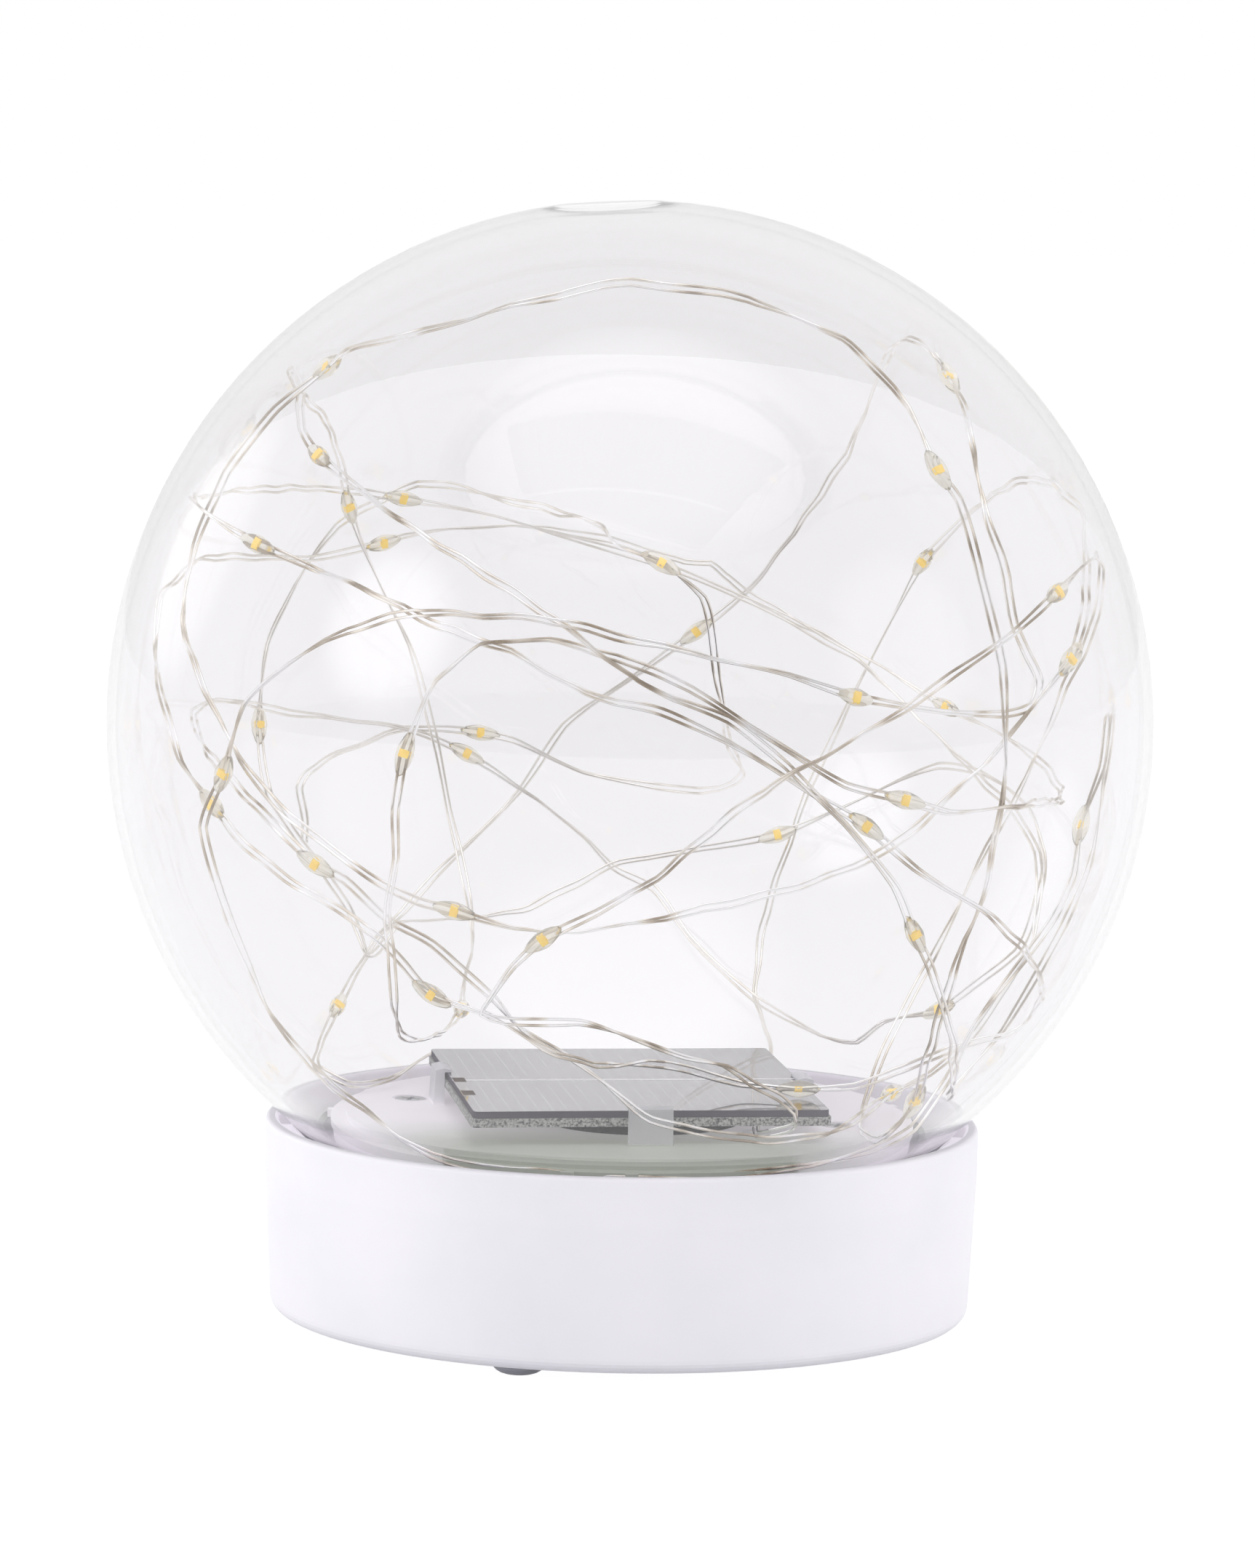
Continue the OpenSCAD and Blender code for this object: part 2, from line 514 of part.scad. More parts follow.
// One clip, on the side of the panel that faces an angle, with its shift along that side
module panel_clip(side, shift) {
    reach = (side % 180 == 0 ? panel_w : panel_l) / 2;
    rotate([0, 0, side]) translate([0, shift - clip_w / 2, 0]) rotate([90, 0, 0]) mirror([0, 0, 1])
        linear_extrude(clip_w) polygon([[reach + 0.1, lid_top - eps], [reach + 0.1, panel_top + 0.1],
            [reach - clip_nose, panel_top + 0.1], [reach - clip_nose, panel_top + 0.4],
            [reach + 0.2, panel_top + 0.7], [reach + clip_t, panel_top + 0.4],
            [reach + clip_t + 0.3, lid_top - eps]]);
}

grommet_at = [19, -17];
grommet_d = 4.2;
lead_place = [12, 23.4]; // the panel's leads, on its underside

module lid_screws() color("#9a9ca0") {
    around(lid_screw_angles, lid_screw_place) translate([0, 0, lid_top - 1.1]) screw(4.6, 1, 2.2, 8);
}

module foam_pad() color("#1d1d20") {
    translate([0, 0, lid_top]) cylinder(h = foam_t, d = foam_d);
}

module panel_board() color("#8d9088") {
    panel_place() translate([0, 0, panel_z]) difference() {
        round_block([panel_w, panel_l, board_t], 0.8);
        for (x = [-1, 1]) translate([x * 1.6 - lead_place[0], lead_place[1], -1]) cylinder(h = 4, d = 1);
    }
}

module panel_laminate() color("#14141f") {
    panel_place() translate([0, 0, laminate_z])
        round_block([panel_w - 2 * laminate_margin, panel_l - 2 * laminate_margin, laminate_t], 0.8);
}

// Two leads from the panel down through the lid to the circuit board
module panel_leads() color("#b02a22") {
    for (x = [-1, 1]) {
        top = [panel_x - (lead_place[0] - x * 1.6) * cos(panel_turn) - lead_place[1] * sin(panel_turn),
            panel_y - (lead_place[0] - x * 1.6) * sin(panel_turn) + lead_place[1] * cos(panel_turn)];
        end = [x * 1.4 - pcb_w / 2 + 3, pcb_y + pcb_l / 2 - 5];
        line = [[top[0], top[1], panel_z + 0.4], [top[0], top[1], panel_z - 0.6],
            [top[0] - x * 0.8, top[1], lid_top - 1], [top[0] - x * 0.8, top[1], lid_top - 4],
            [end[0] + 2, bay_y - 2, bay_top + bay_wall + 3],
            [end[0], bay_y - bay_w / 2 - bay_wall - 2, bay_top + bay_wall + 1],
            [end[0], end[1] + 2, pcb_z + pcb_t + 6], [end[0], end[1], pcb_z + pcb_t]];
        swept_tube(line, 0.5, 6, [for (p = line) [1, 0, 0]]);
    }
}

module string_wire(side) {
    swept_tube(wire_line(side), wire_d / 2, 5, [for (i = [0:string_end]) across(i)]);
}

module light_wire_left() color("#c9c6bd") translate([0, 0, ball_z]) string_wire(-1);

module light_wire_right() color("#d6d3ca") translate([0, 0, ball_z]) string_wire(1);

// Place in the path of the first point of each row after the lead
function row_start(k) = k == 0 ? 0 : row_start(k - 1) + len(string_rows[k - 1][1]);
drop_points = [for (k = [1:len(string_rows) - 1]) row_start(k)];

// Puts a child at each light drop, with its X along the wire and its Z away from the wall
module at_drops() {
    for (i = drop_points) {
        t = along(i);
        s = across(i);
        u = -outward(i);
        p = string_path[i];
        multmatrix([[t[0], -s[0], u[0], p[0]], [t[1], -s[1], u[1], p[1]],
            [t[2], -s[2], u[2], p[2] + ball_z]]) children();
    }
}

// A drop along X: a spindle of three rings between its two tips
module spindle(length, width, sides = 8) {
    rings = [for (k = [-0.5, 0, 0.5]) let (r = width / 2 * sqrt(1 - k * k) * (1 - abs(k) / 4))
        for (i = [0:sides - 1]) [k * length, r * cos(360 * i / sides), r * sin(360 * i / sides)]];
    tips = [[-length / 2, 0, 0], [length / 2, 0, 0]];
    wall = [for (k = [0, 1]) for (i = [0:sides - 1]) let (a = k * sides + i, b = k * sides + (i + 1) % sides)
        each [[a, a + sides, b], [b, a + sides, b + sides]]];
    ends = [for (i = [0:sides - 1]) let (j = (i + 1) % sides)
        each [[3 * sides, i, j], [3 * sides + 1, 2 * sides + j, 2 * sides + i]]];
    polyhedron(concat(rings, tips), concat(wall, ends));
}

module light_drops() color("#f2e9c8", 0.6) {
    at_drops() spindle(drop_l, drop_d);
}

module light_chips() color("#e8c22a") {
    at_drops() translate([-0.5, -0.6, -0.25]) cube([1, 1.2, 0.5]);
}

module wire_grommet() color("#e4e6e0") {
    translate([grommet_at[0], grommet_at[1], lid_top - lid_t]) difference() {
        cylinder(h = lid_t + 0.4, d = grommet_d - 0.1);
        translate([0, 0, -1]) cylinder(h = lid_t + 3, d = wire_gap + wire_d + 0.8);
    }
}

// The string's two wires below the lid, down to the circuit board
module light_leads() color("#c9c6bd") {
    for (line = wire_lines) translate([line[0][0], line[0][1], pcb_z + pcb_t])
        cylinder(h = lid_top - 0.7 - pcb_z - pcb_t, d = wire_d, $fn = 16);
}

module battery_cell() color("#3f8f5a") {
    translate([cell_back, bay_y, cell_z]) rotate([0, -90, 0]) {
        cylinder(h = cell_l - nub_l, d = cell_d);
        cylinder(h = cell_l, d = 5.4);
    }
}

// Cone-shaped coil between the bay's end and the cell
module contact_spring() color("#c0c2c6") {
    turns = 3;
    steps = turns * 12;
    wire_r = 0.35;
    travel = spring_l - 2 * wire_r - 0.1;
    line = [for (i = [0:steps]) let (a = 360 * turns * i / steps, r = 4.6 - 2.2 * i / steps)
        [bay_l / 2 - 0.4 - wire_r - travel * i / steps, bay_y + r * cos(a), cell_z + r * sin(a)]];
    swept_tube(line, wire_r, 6, [for (p = line) [1, 0, 0]]);
    translate([bay_l / 2 - 0.4, bay_y - 5.5, cell_z - 5.5]) cube([0.4, 11, 11]);
}

module contact_plate() color("#c0c2c6") {
    nub_x = cell_back - cell_l;
    translate([-bay_l / 2, bay_y - 5, cell_z - 5]) cube([0.4, 10, 10]);
    translate([-bay_l / 2, bay_y, cell_z]) rotate([0, 90, 0]) cylinder(h = nub_x + bay_l / 2, d = 4);
}

module battery_door() color("#f0f0f5") {
    translate([0, bay_y, floor_z]) difference() {
        union() {
            round_block([door_l - 0.6, door_w - 0.6, door_t], 3.7);
            // Cradle ribs under the cell
            difference() {
                for (x = [-16, 16]) translate([x - 0.8, -bay_w / 2 + 0.5, door_t - eps])
                    cube([1.6, bay_w - 1, cell_z - floor_z - door_t - 2]);
                translate([-door_l / 2, 0, cell_z - floor_z]) rotate([0, 90, 0])
                    cylinder(h = door_l, d = cell_d + 2 * seat_clear);
            }
        }
        for (x = [-1, 1]) translate([x * door_screw_x, 0, -1]) {
            cylinder(h = 4, d = 2.6);
            translate([0, 0, 1 - eps]) cylinder(h = 1.2, d1 = 5, d2 = 2.6);
        }
    }
}

module door_seal() color("#3a3a3e") {
    translate([0, bay_y, floor_z + door_t]) difference() {
        round_block([door_l - 0.6, door_w - 0.6, seal_t], 3.7);
        translate([0, 0, -1]) round_block([bay_l + 1.4, bay_w + 1.4, seal_t + 2], 1);
        for (x = [-1, 1]) translate([x * door_screw_x, 0, -1]) cylinder(h = 4, d = 2.6);
    }
}

module door_screws() color("#9a9ca0") {
    for (x = [-1, 1]) translate([x * door_screw_x, bay_y, floor_z]) mirror([0, 0, 1])
        screw(4.8, 1.15, 1.8, 7, countersunk = true);
}

module circuit_board() color("#2f6b45") {
    translate([-pcb_w / 2, pcb_y - pcb_l / 2, pcb_z]) difference() {
        cube([pcb_w, pcb_l, pcb_t]);
        for (x = [-1, 1]) translate([pcb_w / 2 + x * pcb_post_x, 4, -1]) cylinder(h = 4, d = 2.4);
    }
}

module board_screws() color("#9a9ca0") {
    for (x = [-1, 1]) translate([x * pcb_post_x, pcb_screw_y, pcb_z + pcb_t]) screw(3.6, 1.2, 1.8, 6.5);
}

module control_chip() color("#202024") {
    translate([6, pcb_y - 2, pcb_z + pcb_t]) cube([5, 4, 1.5]);
}

module capacitor() color("#3b3f6a") {
    translate([-8, pcb_y + 3, pcb_z + pcb_t]) cylinder(h = 7, d = 5);
}

module inductor() color("#4a4a4e") {
    translate([-10, pcb_y - 6, pcb_z + pcb_t]) {
        cylinder(h = 1, d = 7);
        cylinder(h = 5, d = 4.4);
        translate([0, 0, 4]) cylinder(h = 1, d = 7);
    }
}

module switch_body() color("#26262a") {
    translate([switch_x, pcb_y, 0]) difference() {
        translate([-4, -4, switch_z]) cube([8, 8, pcb_z - switch_z]);
        translate([0, 0, switch_z - 1]) cylinder(h = pcb_z - switch_z - 0.5, d = 2.6);
    }
}

module switch_plunger() color("#e8e8ea") {
    translate([switch_x, pcb_y, button_post_z])
        cylinder(h = pcb_z - 1.5 - press_room - button_post_z, d = 2.4);
}

module switch_button() color("#dcdce4") {
    translate([switch_x, pcb_y, 0]) {
        translate([0, 0, floor_z + 0.3]) cylinder(h = button_flange_z - floor_z, d = button_d);
        translate([0, 0, button_flange_z]) cylinder(h = 0.8, d = button_d + 2.6);
        translate([0, 0, button_flange_z]) cylinder(h = button_post_z - button_flange_z, d = 3.2);
    }
}

module switch_seal() color("#3a3a3e") {
    translate([switch_x, pcb_y, floor_top]) difference() {
        cylinder(h = seal_h - 0.05, d = button_d + 3);
        translate([0, 0, -1]) cylinder(h = 3, d = button_d + 0.4);
    }
}

module rubber_feet() color("#c9c9cf") {
    flat = 3;
    around(foot_angles, foot_place) rotate_extrude($fn = 48)
        polygon(concat([[0, 0], [flat / 2, 0]],
            [for (a = [15:15:90]) [flat / 2 + (foot_d - flat) / 2 * sin(a), foot_h * (1 - cos(a))]],
            [[foot_d / 2, foot_h + 0.6], [0, foot_h + 0.6]]));
}

base_cup();
ball();
neck_gasket();
inner_lid();
lid_screws();
foam_pad();
panel_board();
panel_laminate();
panel_leads();
light_wire_left();
light_wire_right();
light_drops();
light_chips();
wire_grommet();
light_leads();
battery_cell();
contact_spring();
contact_plate();
battery_door();
door_seal();
door_screws();
circuit_board();
board_screws();
control_chip();
capacitor();
inductor();
switch_body();
switch_plunger();
switch_button();
switch_seal();
rubber_feet();
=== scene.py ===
# Floating solar pool light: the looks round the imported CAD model.
# Everything is in metres, Z is up and the front is -Y.
import math

import bpy
import numpy as np
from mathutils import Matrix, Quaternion, Vector


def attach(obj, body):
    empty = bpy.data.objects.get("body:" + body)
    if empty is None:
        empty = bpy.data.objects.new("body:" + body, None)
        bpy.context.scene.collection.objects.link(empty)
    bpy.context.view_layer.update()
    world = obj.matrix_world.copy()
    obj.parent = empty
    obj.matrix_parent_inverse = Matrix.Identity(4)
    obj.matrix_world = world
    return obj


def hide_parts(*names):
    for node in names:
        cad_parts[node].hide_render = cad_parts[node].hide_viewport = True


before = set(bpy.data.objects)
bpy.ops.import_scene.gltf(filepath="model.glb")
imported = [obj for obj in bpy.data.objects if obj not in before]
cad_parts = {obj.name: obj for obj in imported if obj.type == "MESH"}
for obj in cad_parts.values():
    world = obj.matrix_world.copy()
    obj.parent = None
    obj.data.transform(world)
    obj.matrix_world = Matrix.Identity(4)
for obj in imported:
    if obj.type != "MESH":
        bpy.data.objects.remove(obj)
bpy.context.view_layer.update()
print("frame loaded:", len(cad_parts), "nodes")
scene = bpy.context.scene
mm = 0.001


def linear(hexText, alpha=1.0):
    # sRGB hex to linear: c/12.92 below 0.04045, else ((c + 0.055) / 1.055) to the power 2.4
    values = [int(hexText[i : i + 2], 16) / 255 for i in (1, 3, 5)]
    return [c / 12.92 if c <= 0.04045 else ((c + 0.055) / 1.055) ** 2.4 for c in values] + [alpha]


def addNode(tree, kind, settings=None, links=None, **options):
    # one shader node: options are its own properties, settings its socket values, links its inputs
    made = tree.nodes.new("ShaderNode" + kind)
    for name, value in options.items():
        setattr(made, name, value)
    for name, value in (settings or {}).items():
        made.inputs[name].default_value = value
    for name, source in (links or {}).items():
        tree.links.new(source, made.inputs[name])
    return made


def startMaterial(name, settings):
    # a Principled surface wired to the output, with plain values on its own sockets
    made = bpy.data.materials.new(name)
    made.use_nodes = True
    made.node_tree.nodes.clear()
    shell = addNode(made.node_tree, "BsdfPrincipled", settings)
    addNode(made.node_tree, "OutputMaterial", links={"Surface": shell.outputs[0]})
    return made, made.node_tree, shell


def setRamp(ramp, stops):
    # colour stops of a ramp: [(place, hex), ...]
    points = ramp.color_ramp.elements
    while len(points) > 1:
        points.remove(points[-1])
    points[0].position, points[0].color = stops[0][0], linear(stops[0][1])
    for place, colour in stops[1:]:
        points.new(place).color = linear(colour)


def moulded(name, light, dark, settings, grainMm, bumpMm, patchMm=22.0):
    # moulded plastic or rubber: slow colour drift in patches, and the fine grain of the tool's surface
    made, tree, shell = startMaterial(name, settings)
    place = addNode(tree, "TexCoord").outputs["Object"]
    patches = addNode(tree, "TexNoise", {"Scale": 1 / (patchMm * mm), "Detail": 3.0}, {"Vector": place})
    ramp = addNode(tree, "ValToRGB", links={"Fac": patches.outputs["Fac"]})
    setRamp(ramp, [(0.35, dark), (0.65, light)])
    tree.links.new(ramp.outputs["Color"], shell.inputs["Base Color"])
    grain = addNode(tree, "TexNoise", {"Scale": 1 / (grainMm * mm), "Detail": 2.0}, {"Vector": place})
    bump = addNode(tree, "Bump", {"Strength": 1.0, "Distance": bumpMm * mm}, {"Height": grain.outputs["Fac"]})
    tree.links.new(bump.outputs["Normal"], shell.inputs["Normal"])
    return made, tree, shell


def clearPlastic(name, settings, passed):
    # clear plastic that lets lamp light through to what it covers, tinted by passed
    made, tree, shell = startMaterial(name, settings)
    path = addNode(tree, "LightPath")
    through = addNode(tree, "BsdfTransparent", {"Color": linear(passed)})
    shadow = path.outputs["Is Shadow Ray"]
    mix = addNode(tree, "MixShader", links={"Fac": shadow, 1: shell.outputs[0], 2: through.outputs[0]})
    tree.links.new(mix.outputs[0], tree.nodes["Material Output"].inputs["Surface"])
    return made, tree, shell


def drawnMetal(name, colour, roughness, streakMm, bumpMm):
    # bright metal with the fine streaks that drawing or rolling leaves
    made, tree, shell = startMaterial(name, {"Base Color": linear(colour), "Metallic": 1.0, "Roughness": roughness})
    place = addNode(tree, "TexCoord").outputs["Object"]
    streaks = addNode(tree, "TexNoise", {"Scale": 1 / (streakMm * mm), "Detail": 2.0}, {"Vector": place})
    reach = {"To Min": roughness * 0.7, "To Max": roughness * 1.5}
    span = addNode(tree, "MapRange", reach, {"Value": streaks.outputs["Fac"]})
    tree.links.new(span.outputs["Result"], shell.inputs["Roughness"])
    bump = addNode(tree, "Bump", {"Strength": 1.0, "Distance": bumpMm * mm}, {"Height": streaks.outputs["Fac"]})
    tree.links.new(bump.outputs["Normal"], shell.inputs["Normal"])
    return made, tree, shell


def putMesh(name, points, faces, material, body, smooth=True):
    # one closed mesh from whole arrays of points and four-cornered or three-cornered faces
    mesh = bpy.data.meshes.new(name)
    mesh.from_pydata(points.reshape(-1, 3).tolist(), [], faces.tolist())
    mesh.polygons.foreach_set("use_smooth", np.full(len(mesh.polygons), smooth))
    mesh.materials.append(material)
    made = bpy.data.objects.new(name, mesh)
    scene.collection.objects.link(made)
    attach(made, body)
    return made


def gridFaces(rows, cols):
    # quads between neighbouring rings of a tube that closes round its columns
    a = np.arange(rows - 1)[:, None] * cols + np.arange(cols)[None, :]
    b = np.arange(rows - 1)[:, None] * cols + (np.arange(cols)[None, :] + 1) % cols
    return np.stack([a, b, b + cols, a + cols], axis=-1).reshape(-1, 4)


def turned(profile, sides):
    # surface of revolution: (r cos u, r sin u, z), u round the axis, (r, z) down the profile
    u = np.arange(sides) / sides * 2 * np.pi
    r, z = profile[:, :1], profile[:, 1:]
    return np.stack([r * np.cos(u), r * np.sin(u), z + 0 * u], axis=-1)


def dress(node, material):
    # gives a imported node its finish
    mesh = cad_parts[node].data
    mesh.materials.clear()
    mesh.materials.append(material)


# Camera and light

cameraPlace = {"x": -0.00017, "y": -1.0, "z": 0.1928, "tiltDown": 0.114, "roll": 0.02, "lens": 160.85}
view = bpy.data.cameras.new("photoCamera")
view.lens, view.sensor_width, view.clip_start = cameraPlace["lens"], 36.0, 0.05
camera = bpy.data.objects.new("photoCamera", view)
scene.collection.objects.link(camera)
camera.location = (cameraPlace["x"], cameraPlace["y"], cameraPlace["z"])
camera.rotation_mode = "QUATERNION"
upright = Quaternion((1, 0, 0), math.pi / 2 - cameraPlace["tiltDown"])
camera.rotation_quaternion = upright @ Quaternion((0, 0, 1), cameraPlace["roll"])
scene.camera = camera
scene.view_settings.view_transform = "Standard"

studio = {"floorColour": "#c9c9ce", "floorShow": 1.3, "floorShare": 0.75, "onThings": 0.79, "behindCamera": 0.55,
          "aimHeight": 0.087}  # fmt: skip
lamps = [  # name, place, width, height, watts: soft boxes that look at the middle of the ball
    ("keyBox", (-1.3, -0.45, 0.5), 0.6, 0.7, 6.6),
    ("fillBox", (1.3, -0.4, 0.5), 0.6, 0.7, 5.4),
    ("topBox", (0.0, -0.1, 1.5), 0.9, 0.9, 5.6),
]
for name, place, width, height, power in lamps:
    light = bpy.data.lights.new(name, "AREA")
    light.shape, light.size, light.size_y, light.energy = "RECTANGLE", width, height, power
    lamp = bpy.data.objects.new(name, light)
    lamp.location = place
    lamp.rotation_mode = "QUATERNION"
    lamp.rotation_quaternion = (Vector(place) - Vector((0, 0, studio["aimHeight"]))).to_track_quat("Z", "Y")
    lamp.visible_glossy = lamp.visible_transmission = False  # gloss shows the soft patches of the room instead
    scene.collection.objects.link(lamp)

glows = [  # direction, cosine where the patch starts, cosine where it is full, added brightness
    ((-0.80, -0.50, 0.35), 0.945, 0.999, 1.7),
    ((0.865, -0.41, 0.31), 0.93, 0.995, 0.6),
    ((-0.79, 0.56, 0.26), 0.95, 0.99, 0.5),
    ((0.0, -0.35, 0.93), 0.78, 0.99, 1.3),
]


def seenDirectly(tree):
    # 1 for the camera's rays and for those that glass and gloss send on, 0 for light that falls on things
    path = addNode(tree, "LightPath").outputs
    first = addNode(tree, "Math", links={0: path["Is Camera Ray"], 1: path["Is Glossy Ray"]}, operation="MAXIMUM")
    both = addNode(tree, "Math", links={0: first.outputs[0], 1: path["Is Transmission Ray"]}, operation="MAXIMUM")
    return both.outputs[0]


# The room: white behind the object, dimmer behind the camera, with soft glowing patches in what gloss shows
world = bpy.data.worlds.new("whiteRoom")
scene.world = world
world.use_nodes = True
sky = world.node_tree
sky.nodes.clear()
toward = addNode(sky, "TexCoord").outputs["Generated"]
depthOf = addNode(sky, "SeparateXYZ", links={"Vector": toward}).outputs["Y"]
fade = {"From Min": -0.5, "From Max": 0.2, "To Min": studio["behindCamera"], "To Max": 1.0}
room = addNode(sky, "MapRange", fade, {"Value": depthOf}, interpolation_type="SMOOTHSTEP").outputs["Result"]
for direction, start, full, gain in glows:
    long = math.sqrt(sum(v * v for v in direction))
    unit = [v / long for v in direction]
    facing = addNode(sky, "VectorMath", {1: unit}, {0: toward}, operation="DOT_PRODUCT").outputs["Value"]
    ramp = {"From Min": start, "From Max": full, "To Max": gain}
    patch = addNode(sky, "MapRange", ramp, {"Value": facing}, interpolation_type="SMOOTHERSTEP").outputs["Result"]
    room = addNode(sky, "Math", links={0: room, 1: patch}).outputs[0]
direct = addNode(sky, "LightPath").outputs
clear = addNode(sky, "Math", links={0: direct["Is Glossy Ray"], 1: direct["Is Transmission Ray"]}, operation="MAXIMUM")
shown = addNode(sky, "Mix", {"A": studio["onThings"]}, {"Factor": clear.outputs[0], "B": room}, data_type="FLOAT")
cameraSees = {"Factor": direct["Is Camera Ray"], "A": shown.outputs["Result"]}
shown = addNode(sky, "Mix", {"B": 1.0}, cameraSees, data_type="FLOAT")
backing = addNode(sky, "Background", {"Color": linear("#ffffff")}, {"Strength": shown.outputs["Result"]})
addNode(sky, "OutputWorld", links={"Surface": backing.outputs[0]})

# Paper floor: white where it is seen, grey for the light that it throws back, and clear to a camera under it
floorMat, tree, shell = startMaterial("paperFloor", {"Base Color": linear(studio["floorColour"]), "Roughness": 0.9})
glow = addNode(tree, "Emission", {"Color": linear("#ffffff"), "Strength": studio["floorShow"]})
share = addNode(tree, "Math", {1: studio["floorShare"]}, {0: seenDirectly(tree)}, operation="MULTIPLY")
mix = addNode(tree, "MixShader", links={"Fac": share.outputs[0], 1: shell.outputs[0], 2: glow.outputs[0]})
backSide = addNode(tree, "NewGeometry").outputs["Backfacing"]
cameraRay = addNode(tree, "LightPath").outputs["Is Camera Ray"]
fromBelow = addNode(tree, "Math", links={0: backSide, 1: cameraRay}, operation="MULTIPLY")
nothing = addNode(tree, "BsdfTransparent")
oneSided = addNode(tree, "MixShader", links={"Fac": fromBelow.outputs[0], 1: mix.outputs[0], 2: nothing.outputs[0]})
tree.links.new(oneSided.outputs[0], tree.nodes["Material Output"].inputs["Surface"])
floorMesh = bpy.data.meshes.new("floor")
floorMesh.from_pydata([(-4, -4, 0), (4, -4, 0), (4, 4, 0), (-4, 4, 0)], [], [(0, 1, 2, 3)])
floorMesh.materials.append(floorMat)
floor = bpy.data.objects.new("floor", floorMesh)
scene.collection.objects.link(floor)
print("camera, lamps and floor ready")

# Finishes

# Moulded ABS, satin: white with a cool tint, and a soft skin that blurs every highlight. In the photograph daylight
# comes through its wall: a lavender glow inside the cup, about a third of white, stands for it under any light
cupGlow = {"colour": "#f1e8f4", "strength": 0.34, "radius": 50.0, "low": 23.0, "full": 26.0}
shellWhite, tree, shell = moulded(
    "mouldedAbsShell", "#faf8fc", "#f5f3f8",
    {"Roughness": 0.42, "IOR": 1.54, "Emission Color": linear(cupGlow["colour"])}, 0.5, 0.004,
)  # fmt: skip
place = addNode(tree, "TexCoord").outputs["Object"]
level = addNode(tree, "VectorMath", {1: (1, 1, 0)}, {0: place}, operation="MULTIPLY")
radius = addNode(tree, "VectorMath", links={0: level.outputs["Vector"]}, operation="LENGTH")
inside = addNode(tree, "Math", {1: cupGlow["radius"] * mm}, {0: radius.outputs["Value"]}, operation="LESS_THAN")
height = addNode(tree, "SeparateXYZ", links={"Vector": place}).outputs["Z"]
rise = {"From Min": cupGlow["low"] * mm, "From Max": cupGlow["full"] * mm, "To Max": cupGlow["strength"]}
through = addNode(tree, "MapRange", rise, {"Value": height})
through = addNode(tree, "Math", links={0: through.outputs["Result"], 1: inside.outputs[0]}, operation="MULTIPLY")
tree.links.new(through.outputs[0], shell.inputs["Emission Strength"])

# Blown PET, clear and glossy: hardly any colour, a grey edge where the wall is seen end on. Its faint grey is partly
# the wall's own and partly painted shade, which dims the view through the ball as a darker room would
clearBall = clearPlastic(
    "clearBlownPet",
    {"Base Color": linear("#f3f2f3"), "Roughness": 0.0, "IOR": 1.5, "Transmission Weight": 1.0}, "#f4f4f8",
)[0]  # fmt: skip

# Frosted polypropylene: lavender white. Painted shade makes it greener and darker at the front, under the board,
# as in the photograph, where the dark board shows through the frosted lid. A glow of about a third of white stands
# for the daylight that comes through it; the clips have none and are partly see-through
lidTintAndShade = {"light": "#dfdde0", "dark": "#d5d3d6", "front": "#9da297", "clips": "#f8f8fa", "top": 30.8,
           "backEdge": -8.0, "frontEdge": -28.0, "outerEdge": 44.0, "innerEdge": 20.0, "clipsPass": 0.5,
           "glow": 0.32, "glowBack": "#f4edf5", "glowFront": "#d3d7cd"}  # fmt: skip
frosted, tree, shell = moulded(
    "frostedPolypropylene", lidTintAndShade["light"], lidTintAndShade["dark"], {"Roughness": 0.5, "IOR": 1.49}, 0.8, 0.006
)
pale = shell.inputs["Base Color"].links[0].from_socket
place = addNode(tree, "SeparateXYZ", links={"Vector": addNode(tree, "TexCoord").outputs["Object"]}).outputs
span = {"From Min": lidTintAndShade["backEdge"] * mm, "From Max": lidTintAndShade["frontEdge"] * mm}
near = addNode(tree, "MapRange", span, {"Value": place["Y"]}, interpolation_type="SMOOTHSTEP")
aside = addNode(tree, "Math", links={0: place["X"]}, operation="ABSOLUTE")
span = {"From Min": lidTintAndShade["outerEdge"] * mm, "From Max": lidTintAndShade["innerEdge"] * mm}
within = addNode(tree, "MapRange", span, {"Value": aside.outputs[0]}, interpolation_type="SMOOTHSTEP")
low = addNode(tree, "Math", {1: lidTintAndShade["top"] * mm}, {0: place["Z"]}, operation="LESS_THAN").outputs[0]
shadeUnderBoard = addNode(tree, "Math", links={0: near.outputs["Result"], 1: within.outputs["Result"]}, operation="MULTIPLY")
shadeUnderBoard = addNode(tree, "Math", links={0: shadeUnderBoard.outputs[0], 1: low}, operation="MULTIPLY").outputs[0]
# painted shade: at the front, under the board, the lid's colour turns to the dark green-grey seen through it
tone = addNode(tree, "Mix", {"B": linear(lidTintAndShade["front"])}, {"Factor": shadeUnderBoard, "A": pale}, data_type="RGBA")
onClip = {"Factor": low, "B": tone.outputs["Result"]}
tone = addNode(tree, "Mix", {"A": linear(lidTintAndShade["clips"])}, onClip, data_type="RGBA")
glowTones = {"A": linear(lidTintAndShade["glowBack"]), "B": linear(lidTintAndShade["glowFront"])}
passed = addNode(tree, "Mix", glowTones, {"Factor": shadeUnderBoard}, data_type="RGBA")
strength = addNode(tree, "Math", {1: lidTintAndShade["glow"]}, {0: low}, operation="MULTIPLY")
clipOnly = {1: -lidTintAndShade["clipsPass"], 2: lidTintAndShade["clipsPass"]}
seeThrough = addNode(tree, "Math", clipOnly, {0: low}, operation="MULTIPLY_ADD")
tree.links.new(tone.outputs["Result"], shell.inputs["Base Color"])
tree.links.new(passed.outputs["Result"], shell.inputs["Emission Color"])
tree.links.new(strength.outputs[0], shell.inputs["Emission Strength"])
tree.links.new(seeThrough.outputs[0], shell.inputs["Transmission Weight"])

# Silicone rubber, white-grey and dark
paleRubber = moulded("siliconeRubberPale", "#d2d2d8", "#c4c4cc", {"Roughness": 0.62, "IOR": 1.42}, 0.4, 0.008)[0]
darkRubber = moulded("siliconeRubberDark", "#3c3c42", "#303036", {"Roughness": 0.6, "IOR": 1.42}, 0.4, 0.008)[0]

